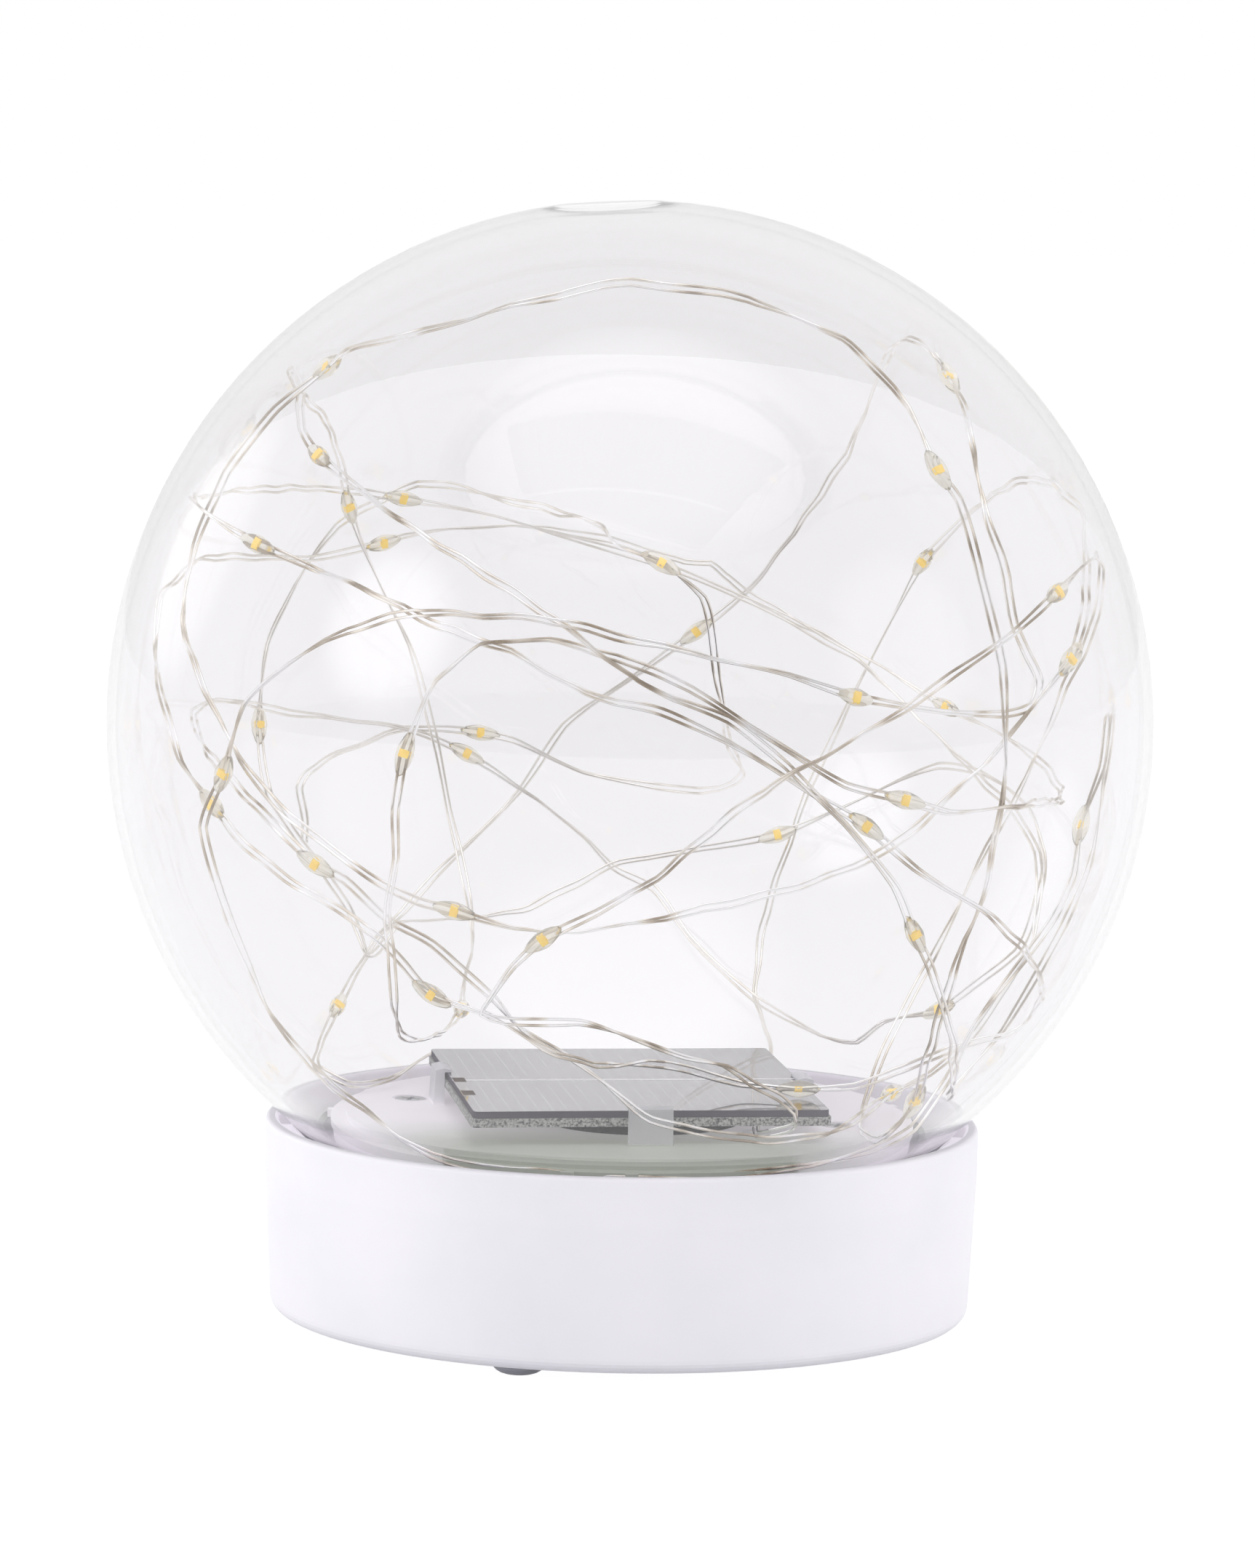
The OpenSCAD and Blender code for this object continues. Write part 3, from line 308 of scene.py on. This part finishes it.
# Polyethylene foam: black, open cells about 0.6 mm wide
foam, tree, shell = startMaterial("polyethyleneFoam", {"Roughness": 0.95, "Specular IOR Level": 0.1})
place = addNode(tree, "TexCoord").outputs["Object"]
cells = addNode(tree, "TexVoronoi", {"Scale": 1 / (0.6 * mm)}, {"Vector": place})
tone = addNode(tree, "ValToRGB", links={"Fac": cells.outputs["Distance"]})
setRamp(tone, [(0.0, "#050406"), (0.7, "#121015")])
bump = addNode(tree, "Bump", {"Strength": 1.0, "Distance": 0.15 * mm}, {"Height": cells.outputs["Distance"]})
tree.links.new(tone.outputs["Color"], shell.inputs["Base Color"])
tree.links.new(bump.outputs["Normal"], shell.inputs["Normal"])

# Fibreglass board, sawn: pale grey with dark and white specks of cut strands
board, tree, shell = startMaterial("sawnFibreglass", {"Roughness": 0.7})
place = addNode(tree, "TexCoord").outputs["Object"]
strands = addNode(tree, "TexNoise", {"Scale": 1 / (0.35 * mm), "Detail": 3.0}, {"Vector": place})
tone = addNode(tree, "ValToRGB", links={"Fac": strands.outputs["Fac"]})
setRamp(tone, [(0.36, "#4e4f50"), (0.46, "#9a9b97"), (0.6, "#c9cac6")])
tree.links.new(tone.outputs["Color"], shell.inputs["Base Color"])

# Solar cells under poured epoxy: dark blue with silver fingers 2 mm apart, one pale busbar and two brown pads,
# under a thick glossy coat; the sawn sides show only the dull purple-grey resin
panel = {"turn": -8.4, "x": -0.43, "y": -0.85, "fingerPitch": 2.0, "fingerWide": 0.12, "busPlace": -0.8,
         "busHalf": 0.45, "padPlace": -24.2, "padHalf": 0.9, "padRows": (-0.6, -11.7), "padRowHalf": 1.9}  # fmt: skip
cellFace, tree, shell = startMaterial(
    "epoxySolarCells", {"Roughness": 0.25, "IOR": 1.5, "Coat Weight": 1.0, "Coat Roughness": 0.02, "Coat IOR": 1.55}
)
place = addNode(tree, "TexCoord").outputs["Object"]
panelTurn = {"Rotation": (0, 0, math.radians(panel["turn"])), "Location": (panel["x"] * mm, panel["y"] * mm, 0)}
turn = addNode(tree, "Mapping", panelTurn, {"Vector": place})
across = addNode(tree, "SeparateXYZ", links={"Vector": turn.outputs["Vector"]}).outputs
beat = addNode(tree, "Math", {1: panel["fingerPitch"] * mm}, {0: across["X"]}, operation="FLOORED_MODULO")
finger = addNode(tree, "Math", {1: panel["fingerWide"] * mm}, {0: beat.outputs[0]}, operation="LESS_THAN")
band = {1: panel["busPlace"] * mm, 2: panel["busHalf"] * mm}
bus = addNode(tree, "Math", band, {0: across["Y"]}, operation="COMPARE")
band = {1: panel["padPlace"] * mm, 2: panel["padHalf"] * mm}
padEnd = addNode(tree, "Math", band, {0: across["X"]}, operation="COMPARE")
padOne, padTwo = [
    addNode(tree, "Math", {1: row * mm, 2: panel["padRowHalf"] * mm}, {0: across["Y"]}, operation="COMPARE")
    for row in panel["padRows"]
]
pads = addNode(tree, "Math", links={0: padOne.outputs[0], 1: padTwo.outputs[0]}, operation="MAXIMUM")
pads = addNode(tree, "Math", links={0: pads.outputs[0], 1: padEnd.outputs[0]}, operation="MULTIPLY")
drift = addNode(tree, "TexNoise", {"Scale": 1 / (18 * mm), "Detail": 2.0}, {"Vector": place})
silicon = addNode(tree, "ValToRGB", links={"Fac": drift.outputs["Fac"]})
setRamp(silicon, [(0.35, "#17141f"), (0.65, "#221e2b")])
tone = silicon.outputs["Color"]
for colour, where in (("#8d8b94", finger), ("#f4f3f4", bus), ("#5d5049", pads)):
    over = {"Factor": where.outputs[0], "A": tone}
    tone = addNode(tree, "Mix", {"B": linear(colour)}, over, data_type="RGBA").outputs["Result"]
facing = addNode(tree, "SeparateXYZ", links={"Vector": addNode(tree, "NewGeometry").outputs["Normal"]})
onTop = addNode(tree, "Math", {1: 0.7}, {0: facing.outputs["Z"]}, operation="GREATER_THAN").outputs[0]
tone = addNode(tree, "Mix", {"A": linear("#514b57")}, {"Factor": onTop, "B": tone}, data_type="RGBA")
bare = addNode(tree, "Math", links={0: bus.outputs[0], 1: pads.outputs[0]}, operation="MAXIMUM")
coated = addNode(tree, "Math", links={0: onTop, 1: bare.outputs[0]}, operation="SUBTRACT", use_clamp=True)
rough = addNode(tree, "MapRange", {"To Min": 0.7, "To Max": 0.25}, {"Value": coated.outputs[0]})
tree.links.new(tone.outputs["Result"], shell.inputs["Base Color"])
tree.links.new(coated.outputs[0], shell.inputs["Coat Weight"])
tree.links.new(rough.outputs["Result"], shell.inputs["Roughness"])

# Enamelled copper, silver coloured and drawn thin: dull and bright lengths, and paler towards the back, which is
# painted haze of light that imitates the haze on the far strands in the photograph
wireTone = {"stretch": 7.0, "paleFrom": -15.0, "paleTo": 45.0, "paleMost": 0.75}
silverWire, tree, shell = drawnMetal("drawnSilverWire", "#cfcbc2", 0.14, 0.6, 0.004)
place = addNode(tree, "TexCoord").outputs["Object"]
stretches = addNode(tree, "TexNoise", {"Scale": 1 / (wireTone["stretch"] * mm), "Detail": 1.0}, {"Vector": place})
tone = addNode(tree, "ValToRGB", links={"Fac": stretches.outputs["Fac"]})
setRamp(tone, [(0.34, "#ab9d8a"), (0.46, "#ebe4d8"), (0.58, "#ffffff")])
# painted haze: the far strands are mixed towards near-white
depth = addNode(tree, "SeparateXYZ", links={"Vector": place}).outputs["Y"]
span = {"From Min": wireTone["paleFrom"] * mm, "From Max": wireTone["paleTo"] * mm, "To Max": wireTone["paleMost"]}
back = addNode(tree, "MapRange", span, {"Value": depth})
over = {"Factor": back.outputs["Result"], "A": tone.outputs["Color"]}
tone = addNode(tree, "Mix", {"B": linear("#fbf9f4")}, over, data_type="RGBA")
tree.links.new(tone.outputs["Result"], shell.inputs["Base Color"])

# Screws, springs and contacts: zinc plated, stainless and nickel plated steel
steel = drawnMetal("zincPlatedSteel", "#b9babd", 0.3, 0.4, 0.004)[0]
stainless = drawnMetal("stainlessSteel", "#e6e5e8", 0.6, 0.4, 0.004)[0]
nickel = drawnMetal("nickelPlatedSteel", "#c9c5bd", 0.2, 0.5, 0.003)[0]

# Cast epoxy, clear with a faint straw tint
epoxyDrop = clearPlastic(
    "castEpoxyDrop",
    {"Base Color": linear("#fffdf4"), "Roughness": 0.03, "IOR": 1.3, "Transmission Weight": 0.78}, "#fdf9ea",
)[0]  # fmt: skip

# Phosphor over the light chip: strong yellow, with a painted glow that makes it brighter, though the chip is not lit
phosphor = moulded(
    "phosphorGel", "#ffe04c", "#fad03c",
    {"Roughness": 0.5, "Emission Color": linear("#fbd24e"), "Emission Strength": 0.45}, 0.2, 0.01, 0.5,
)[0]  # fmt: skip

# The rest of the small pieces
greenBoard = moulded("solderMaskGreen", "#1e6a3a", "#18582f", {"Roughness": 0.3, "Coat Weight": 0.4}, 0.6, 0.01, 4.0)[0]
blackResin = moulded("mouldedEpoxyBlack", "#242428", "#1a1a1e", {"Roughness": 0.55}, 0.15, 0.006, 2.0)[0]
redLead = moulded("pvcLeadRed", "#b1281f", "#9c1f18", {"Roughness": 0.4}, 0.3, 0.004, 3.0)[0]
sleeveBlue = moulded("shrinkSleeveBlue", "#2a2f66", "#22265a", {"Roughness": 0.25}, 0.5, 0.004, 3.0)[0]
ferrite = moulded("sinteredFerrite", "#4a4a4f", "#3a3a3e", {"Roughness": 0.7}, 0.12, 0.008, 1.5)[0]
nylon = moulded("mouldedNylon", "#e4e4e2", "#d8d8d6", {"Roughness": 0.4}, 0.3, 0.004, 4.0)[0]

# Rechargeable cell: shrunk PVC sleeve, plain green, with a bright steel end
cellSleeve = {"green": "#3c8a55", "steel": "#c9c9c6", "steelTo": -26.2, "greenFrom": -25.8}
cell, tree, shell = startMaterial("cellSleeveGreen", {"Roughness": 0.28})
place = addNode(tree, "SeparateXYZ", links={"Vector": addNode(tree, "TexCoord").outputs["Object"]}).outputs["X"]
span = {"From Min": cellSleeve["steelTo"] * mm, "From Max": cellSleeve["greenFrom"] * mm, "To Min": 1.0, "To Max": 0.0}
atEnd = addNode(tree, "MapRange", span, {"Value": place}).outputs["Result"]
tones = {"A": linear(cellSleeve["green"]), "B": linear(cellSleeve["steel"])}
tone = addNode(tree, "Mix", tones, {"Factor": atEnd}, data_type="RGBA")
tree.links.new(tone.outputs["Result"], shell.inputs["Base Color"])
tree.links.new(atEnd, shell.inputs["Metallic"])

finishes = {
    "base_cup": shellWhite, "battery_door": shellWhite, "ball": clearBall, "neck_gasket": darkRubber,
    "door_seal": darkRubber, "switch_seal": darkRubber, "inner_lid": frosted, "wire_grommet": frosted,
    "lid_screws": stainless, "door_screws": steel, "board_screws": steel, "foam_pad": foam, "panel_board": board,
    "panel_laminate": cellFace, "panel_leads": redLead, "light_wire_left": silverWire,
    "light_wire_right": silverWire, "light_drops": epoxyDrop, "light_chips": phosphor, "light_leads": silverWire,
    "battery_cell": cell, "contact_spring": nickel, "contact_plate": nickel, "circuit_board": greenBoard,
    "control_chip": blackResin, "capacitor": sleeveBlue, "inductor": ferrite, "switch_body": blackResin,
    "switch_plunger": nylon, "switch_button": paleRubber, "rubber_feet": paleRubber,
}  # fmt: skip
for node, material in finishes.items():
    dress(node, material)
print("finishes on", len(finishes), "nodes")

# The light string, from the lid to its free end. Each row is the stretch from one drop to the next:
# the radius at which it lies, then x, height over the ball's middle, and the share of the way to the wall.
# The low arc at the front lies up to 2.2 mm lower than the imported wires, as in the photograph
stringRows = [
    [72, [[19, -57, -.43], [19, -55, -.42], [19, -55, -.6], [21, -54, -.68], [23, -53, -.73],
        [24, -52, -.76], [24, -50, -.75], [22, -48, -.71], [18, -46, -.69], [14, -43, -.69],
        [8, -41, -.74], [1, -38, -.8], [-6, -35, -.88], [-16, -34, -1], [-19, -33, -1],
        [-18, -31, -1], [-15, -26, -1]]],
    [72, [[-11, -22, -1], [-4, -18, -1], [4, -13, -1], [13, -5, -1], [20, 0, -1], [31, 6, -1],
        [38, 10, -1], [51, 18, -1]]],
    [72, [[58, 23, -1], [63, 26, -.9], [66, 26, -.5], [67, 24, -.1], [67, 17, .1], [63, 6, .2],
        [58, -8, .3], [52, -21, .4], [45, -36, .4], [38, -48, .2], [35, -55, 0], [34, -56, -.5],
        [36, -56, -.8], [39, -53, -.8]]],
    [70.8, [[41, -50, -.8], [42, -42, -.9], [45, -27, -1], [49, -15, -1], [51, 1, -1], [50, 14, -1],
        [47, 27, -1], [44, 36, -1]]],
    [72, [[41, 40, -1], [37, 48, -1], [28, 57, -1], [15, 62, -1], [-1, 64, -1], [-16, 61, -1],
        [-30, 56.5, -1], [-39, 54, -1]]],
    [69.6, [[-43, 51, -1], [-50, 45, -1], [-57, 36, -1], [-61, 26, -1], [-62, 16, -1], [-58, 7, -1],
        [-53, -1, -1], [-46, -8, -1], [-33, -16, -1], [-28, -18, -1]]],
    [69.6, [[-23, -19, -1], [-15, -21, -1], [-6, -21, -1], [9, -18, -1], [25, -14, -1],
        [35, -10, -1], [48, 1, -1], [57, 10, -1]]],
    [72, [[60, 14, -1], [63, 21, -.8], [64, 27, -.4], [64, 32, 0], [61, 35, .4], [57, 35, .8],
        [51, 29, 1]]],
    [72, [[44, 20, 1], [39, 9, 1], [33, -4, 1], [26, -21, 1], [21, -37, 1], [20, -47, 1],
        [22, -52, .95], [22, -55, .86], [20, -56, .84], [16, -56, .85], [0, -56, .86], [-16, -55, .84],
        [-28, -53, .76], [-34, -55, .5], [-40, -55, .4], [-45, -53, .6], [-45, -51, .9]]],
    [72, [[-43, -47, 1], [-38, -39, 1], [-29, -30, 1], [-17, -18, 1], [-10, -8, 1], [-2, -2, 1]]],
    [72, [[10, 7, 1], [18, 14, 1], [25, 24, 1], [32, 36, 1], [36, 49, .9], [37, 54, .6],
        [39, 56, .2], [42, 54, -.3]]],
    [68.4, [[44, 51, -.6], [46, 46, -1], [48, 34, -1], [51, 25, -1], [52, 19, -1], [56, 11, -1],
        [55, 8, -1], [51, 7, -1], [43, 8, -1], [33, 10, -1]]],
    [72, [[30, 11, -1], [21, 14, -1], [8, 17, -1], [-2, 19, -1], [-12, 21, -1], [-21, 21, -1],
        [-29, 21, -1], [-38, 18, -1], [-46, 13, -1], [-52, 7, -1], [-54, 1, -1]]],
    [72, [[-55, -3, -1], [-58, -11, -1], [-54, -24, -1], [-49, -36, -1], [-43, -44, -1],
        [-36, -51, -.9], [-26, -57, -.98], [-14, -58, -.99], [0, -58.2, -.99], [14, -58, -.99],
        [26, -57, -.98], [35, -56, -.96], [41, -54, -.9], [46, -48, -.6], [50, -40, -.4],
        [56, -33, -.3], [62, -25, -.2], [64, -20, -.2]]],
    [72, [[65, -13, -.1], [68, -5, 0], [69, 2, .1], [70, 2, .4], [69, -10, .4], [67, -21, .4],
        [64, -29, .4], [55, -44, .2], [47, -53, -.2], [47, -51, -.6], [46, -46, -.9],
        [45, -38, -1], [41, -26, -1]]],
    [70.8, [[39, -22, -1], [36, -15, -1], [29, -6, -1], [21, 2, -1], [13, 8, -1], [1, 13, -1],
        [-9, 20, -1], [-21, 27, -1], [-32, 33, -1]]],
    [70.8, [[-43, 40, -1], [-46, 43, -.9], [-47, 48, -.6], [-49, 50, -.2], [-50, 49, .3],
        [-49, 46, .6], [-46, 41, .9], [-44, 33, 1]]],
    [69.6, [[-43, 27, 1], [-40, 18, 1], [-34, 5, 1], [-30, -9, 1], [-26, -25, .95], [-23, -37, .8],
        [-24, -43, .6]]],
    [72, [[-24, -45, .4], [-26, -46, .1], [-29, -44, -.3], [-31, -40, -.7], [-31, -32, -.98],
        [-32, -21, -1], [-31, -12, -1], [-31, -5, -1]]],
    [69.6, [[-30, 2, -1], [-26, 12, -1], [-20, 17, -1], [-11, 18, -1], [-2, 16, -1], [8, 12, -1],
        [18, 6, -1], [29, -1, -1]]],
    [72, [[37, -3, -1], [43, -5, -1], [51, -5, -1], [57, -6, -.8], [61, -8, -.4], [62, -8, 0],
        [60, -6, .5], [55, -4, .8]]],
    [70.8, [[48, -2, 1], [35, 5, 1], [20, 12, 1], [14, 16, 1], [12, 18, 1], [8, 18, 1], [1, 20, 1],
        [-13, 23, 1], [-28, 23, 1], [-35, 22, 1]]],
    [70.8, [[-38, 21, 1], [-49, 19, 1], [-56, 20, 1], [-64, 21, .8], [-66, 19, .5], [-68, 17, .1],
        [-68, 11, -.3], [-65, 4, -.8], [-62, -3, -.9]]],
    [69.6, [[-57, -8, -1], [-52, -13, -1], [-46, -17, -1], [-34, -23, -1]]],
    [70.8, [[-26, -31, -1], [-17, -34, -1], [-11, -38, -1], [-4, -41, -.9],
        [4, -45, -.5], [10, -48, -.25], [17, -50, -.26]]],
    [72, [[25, -50.3, -.3], [33, -50, -.3], [40, -48, -.25], [46, -45, -.3], [55, -43, -.4],
        [58, -41, -.5], [59, -37, -.7], [58, -32, -.9], [54, -25, -1], [48, -19, -1],
        [39, -13, -.95]]],
    [67.2, [[32, -7, -1], [24, -2, -1], [13, 5, -1], [3, 9, -1], [-6, 11, -1], [-16, 16, -1],
        [-26, 19, -1], [-36, 23, -1], [-43, 25, -1]]],
    [72, [[-51, 28, -1], [-59, 31, -1], [-63, 32, -.3], [-63, 31, .3], [-58, 31, .8],
        [-48, 30, 1], [-41, 29, 1]]],
    [69.6, [[-35, 28, 1], [-21, 25, 1], [-8, 21, 1], [6, 17, 1], [19, 12, 1], [35, 4, 1],
        [44, -4, 1], [52, -11, 1], [58, -16, 1], [61, -21, 1], [61, -24, .9], [60, -32, .9],
        [56, -39, .8], [50, -47, .7], [45, -51, .4]]],
    [69.6, [[39, -53, 0], [35, -53, -.5], [29, -54, -.85], [20, -54, -.9], [10, -52, -.88],
        [4, -50, -.88], [-1, -46, -.86], [-6, -42, -.85], [-14, -36, -.92], [-18, -31, -1],
        [-26, -24, -1], [-32, -21, -1], [-38, -16, -1]]],
    [70.8, [[-42, -14, -1], [-48, -9, -1], [-57, -3, -.8], [-61, -1, -.4], [-63, 0, .1],
        [-61, 0, .6], [-49, -5, 1], [-34, -8, 1]]],
    [70.8, [[-25, -12, 1], [-10, -22, 1], [-2, -29, 1], [4, -32, 1], [10, -39, 1], [20, -47, 1],
        [30, -51, 1], [35, -51, 1], [39, -48, 1]]],
    [70.8, [[47, -45, 1], [53, -40, 1], [58, -35, 1], [61, -28, 1], [62, -21, 1],
        [60, -15, 1], [53, -11, 1], [47, -11, 1], [32, -19, 1]]],
    [68.4, [[23, -23, 1], [10, -26, 1], [-1, -28, 1], [-16, -35, 1], [-27, -36, 1], [-34, -36, 1],
        [-37, -39, 1], [-38, -40, 1], [-39, -40, 1], [-40, -38, 1], [-42, -33, 1], [-48, -25, 1],
        [-54, -16, 1]]],
    [72, [[-56, -6, 1], [-55, 6, 1], [-51, 15, 1], [-45, 24, 1], [-33, 30, 1], [-18, 29, .6],
        [-5, 28, .1], [-2, 26, -.1]]],
    [70.8, [[4, 24, -.15], [10, 19, -.1], [13, 3, .1], [15, -6, .4], [17, -11, .6], [16, -14, .75],
        [11, -17, .95], [4, -17, 1], [-7, -15, 1], [-18, -10, 1]]],
    [72, [[-23, -9, 1], [-34, -8, 1], [-46, -12, 1], [-49, -14, 1], [-50, -16, 1],
        [-49, -21, 1], [-49, -24, 1]]]]
string = {"ballHeight": 87.0, "gap": 0.88, "thick": 0.41, "sides": 8, "ringStep": 1.3, "stiff": 0.4, "reach": 72.4,
          "twist": 1.25, "twistLong": 34.0, "kink": 0.17, "flatShare": 0.2,
          "bend": {"long": 15.0, "sway": 0.9, "swayLong": 19.0, "start": 0.0},
          "lift": {"long": 20.55, "sway": 0.7, "swayLong": 23.0, "start": 2.0}}  # fmt: skip


def throughPoints(points, step):
    # Catmull-Rom curve with centripetal knots, sampled about every step; it passes through each point
    before, after = 2 * points[0] - points[1], 2 * points[-1] - points[-2]
    p = np.vstack([before, points, after])
    gaps = np.maximum(np.linalg.norm(np.diff(p, axis=0), axis=1), 1e-6) ** 0.5
    out, marks = [], [0]
    for i in range(1, len(p) - 2):
        t0, t1 = 0.0, gaps[i - 1]
        t2, t3 = t1 + gaps[i], t1 + gaps[i] + gaps[i + 1]
        count = max(2, int(round(np.linalg.norm(p[i + 1] - p[i]) / step)))
        t = (t1 + (t2 - t1) * np.arange(count) / count)[:, None]
        a1 = (t1 - t) / (t1 - t0) * p[i - 1] + (t - t0) / (t1 - t0) * p[i]
        a2 = (t2 - t) / (t2 - t1) * p[i] + (t - t1) / (t2 - t1) * p[i + 1]
        a3 = (t3 - t) / (t3 - t2) * p[i + 1] + (t - t2) / (t3 - t2) * p[i + 2]
        b1 = (t2 - t) / (t2 - t0) * a1 + (t - t0) / (t2 - t0) * a2
        b2 = (t3 - t) / (t3 - t1) * a2 + (t - t1) / (t3 - t1) * a3
        curve = (t2 - t) / (t2 - t1) * b1 + (t - t1) / (t2 - t1) * b2
        out.append(curve + string["stiff"] * (a2 - curve))  # a2 is the straight way: wire bent by hand keeps corners
        marks.append(marks[-1] + count)
    out.append(points[-1:])
    return np.vstack(out), marks


rowStarts = np.cumsum([0] + [len(row[1]) for row in stringRows])
spots = np.array([[p[0], p[1], p[2], row[0]] for row in stringRows for p in row[1]], float)
depth = spots[:, 2] * np.sqrt(np.maximum(1, spots[:, 3] ** 2 - spots[:, 0] ** 2 - spots[:, 1] ** 2))
knots = np.stack([spots[:, 0], depth, spots[:, 1]], axis=-1)
middle, marks = throughPoints(knots, string["ringStep"])


def alongAndBeside(line):
    # unit vectors along the line, and across it in the surface of the ball, evened out over nine rings
    ahead = np.gradient(line, axis=0)
    ahead /= np.linalg.norm(ahead, axis=1)[:, None]
    beside = np.cross(line, ahead)
    beside /= np.linalg.norm(beside, axis=1)[:, None]
    kernel = np.hanning(9) / np.hanning(9).sum()
    beside = np.stack([np.convolve(np.pad(beside[:, k], 4, "edge"), kernel, "valid") for k in range(3)], axis=-1)
    return ahead, beside / np.linalg.norm(beside, axis=1)[:, None]


def zigzag(wave):
    # straight ramps between -1 and 1: 4 |x - nearest whole number| - 1, where x grows along the wire and sways
    x = travel / wave["long"] + wave["sway"] * np.sin(travel / wave["swayLong"] + wave["start"])
    return (4 * np.abs(x - np.floor(x + 0.5)) - 1)[:, None]


# Between two drops the pair twists and has small kinks; at the drops it lies flat, as the chips need it
ahead, beside = alongAndBeside(middle)
travel = np.concatenate([[0], np.cumsum(np.linalg.norm(np.diff(middle, axis=0), axis=1))])
dropMarks = np.array([marks[i] for i in rowStarts[:-1]] + [len(middle) - 1])
stretch = np.clip(np.searchsorted(dropMarks, np.arange(len(middle)), "right") - 1, 0, len(dropMarks) - 2)
first, last = travel[dropMarks[stretch]], travel[dropMarks[stretch + 1]]
share = (travel - first) / (last - first)
halfTurns = np.maximum(1, np.round((last - first) / string["twistLong"]))
twist = string["twist"] * np.where(stretch % 2, -1, 1) * np.sin(np.pi * halfTurns * share)
free = np.minimum(1, np.minimum(share, 1 - share) / string["flatShare"])[:, None]
kinks = zigzag(string["bend"]) * beside + zigzag(string["lift"]) * np.cross(ahead, beside)
middle = middle + string["kink"] * free * kinks
distance = np.linalg.norm(middle, axis=1)
middle *= (np.minimum(distance, string["reach"]) / distance)[:, None]  # the wire never leaves the ball
ahead, beside = alongAndBeside(middle)
print("string length in mm:", round(float(np.linalg.norm(np.diff(middle, axis=0), axis=1).sum())))


def tubeAlong(line, radius, sides):
    # closed tube: rings of radius r square to the line, from beside, round the line and along it
    t = np.gradient(line, axis=0)
    t /= np.linalg.norm(t, axis=1)[:, None]
    across = beside - (beside * t).sum(1)[:, None] * t
    across /= np.linalg.norm(across, axis=1)[:, None]
    up = np.cross(t, across)
    u = np.arange(sides) / sides * 2 * np.pi
    circle = np.cos(u)[None, :, None] * across[:, None] + np.sin(u)[None, :, None] * up[:, None]
    rings = line[:, None] + radius * circle
    faces = gridFaces(len(line), sides).tolist()
    faces.append(list(range(sides))[::-1])
    faces.append([(len(line) - 1) * sides + k for k in range(sides)])
    return rings, faces


for side, node in ((-1, "light_wire_left"), (1, "light_wire_right")):
    apart = np.cos(twist)[:, None] * beside + np.sin(twist)[:, None] * np.cross(ahead, beside)
    line = middle + side * string["gap"] / 2 * apart
    rings, faces = tubeAlong(line, string["thick"] / 2, string["sides"])
    rings = (rings + [0, 0, string["ballHeight"]]) * mm
    wire = putMesh("silver_" + node, rings, np.array(faces, dtype=object), silverWire, "base")
    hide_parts(node)
print("wires wound")

drop = {"long": 6.4, "thick": 2.5, "pinch": 0.25, "sides": 20, "rings": 17}


def dropFrames():
    # at each drop: its middle, along the wires, across them, and away from the ball's wall
    at = [marks[i] for i in rowStarts[1:-1]]
    t = ahead[at]
    s = beside[at] - (beside[at] * t).sum(1)[:, None] * t
    s /= np.linalg.norm(s, axis=1)[:, None]
    return middle[at], t, s, np.cross(t, s)


place, along, across, up = dropFrames()


def atDrops(shape):
    # copies of one small shape (points in along, across, up) at every drop
    frames = np.stack([along, across, up], axis=1)
    moved = sum(shape[None, :, k, None] * frames[:, k][:, None] for k in range(3))
    return (moved + place[:, None] + [0, 0, string["ballHeight"]]) * mm


def repeatFaces(faces, count, points):
    # the same faces for each copy, shifted by its points
    return [[v + k * points for v in f] for k in range(count) for f in faces]


# A drop is a turned spindle: its radius over v from -1 to 1 is that of an ellipse, pinched in towards both tips
v = np.linspace(-1, 1, drop["rings"])
belly = drop["thick"] / 2 * np.sqrt(np.maximum(0.0, 1 - v**2)) * (1 - drop["pinch"] * np.abs(v))
v, belly = v[1:-1, None], belly[1:-1, None]
u = np.arange(drop["sides"]) / drop["sides"] * 2 * np.pi
body = np.stack([v * drop["long"] / 2 + 0 * u, belly * np.cos(u), belly * np.sin(u)], axis=-1)
shape = np.vstack([body.reshape(-1, 3), [[-drop["long"] / 2, 0, 0], [drop["long"] / 2, 0, 0]]])
rows, cols = drop["rings"] - 2, drop["sides"]
faces = gridFaces(rows, cols).tolist()
tips = rows * cols
faces += [[tips, (k + 1) % cols, k] for k in range(cols)]
faces += [[tips + 1, (rows - 1) * cols + k, (rows - 1) * cols + (k + 1) % cols] for k in range(cols)]
faces = np.array(repeatFaces(faces, len(place), len(shape)), dtype=object)
drops = putMesh("epoxy_drops", atDrops(shape), faces, epoxyDrop, "base")
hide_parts("light_drops")
print("drops cast:", len(place))

# The foam pad: a turned disc under the panel, off its middle as in the photograph, which is not where the packed
# pad lies
pad = {"radius": 15.5, "x": 2.5, "y": -4.5, "bottom": 30.6, "top": 33.1, "soft": 0.5, "heart": 0.01, "sides": 96}
flat = pad["radius"] - pad["soft"]
profile = np.array([
    [pad["heart"], pad["bottom"]], [flat, pad["bottom"]], [pad["radius"], pad["bottom"] + pad["soft"]],
    [pad["radius"], pad["top"] - pad["soft"]], [flat, pad["top"]], [pad["heart"], pad["top"]],
])  # fmt: skip
faces = gridFaces(len(profile), pad["sides"]).tolist()
last = (len(profile) - 1) * pad["sides"]
faces += [list(range(pad["sides"]))[::-1], list(range(last, last + pad["sides"]))]
places = (turned(profile, pad["sides"]) + [pad["x"], pad["y"], 0]) * mm
foamPad = putMesh("foam_disc", places, np.array(faces, dtype=object), foam, "base", smooth=False)
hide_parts("foam_pad")
print("foam pad cut")
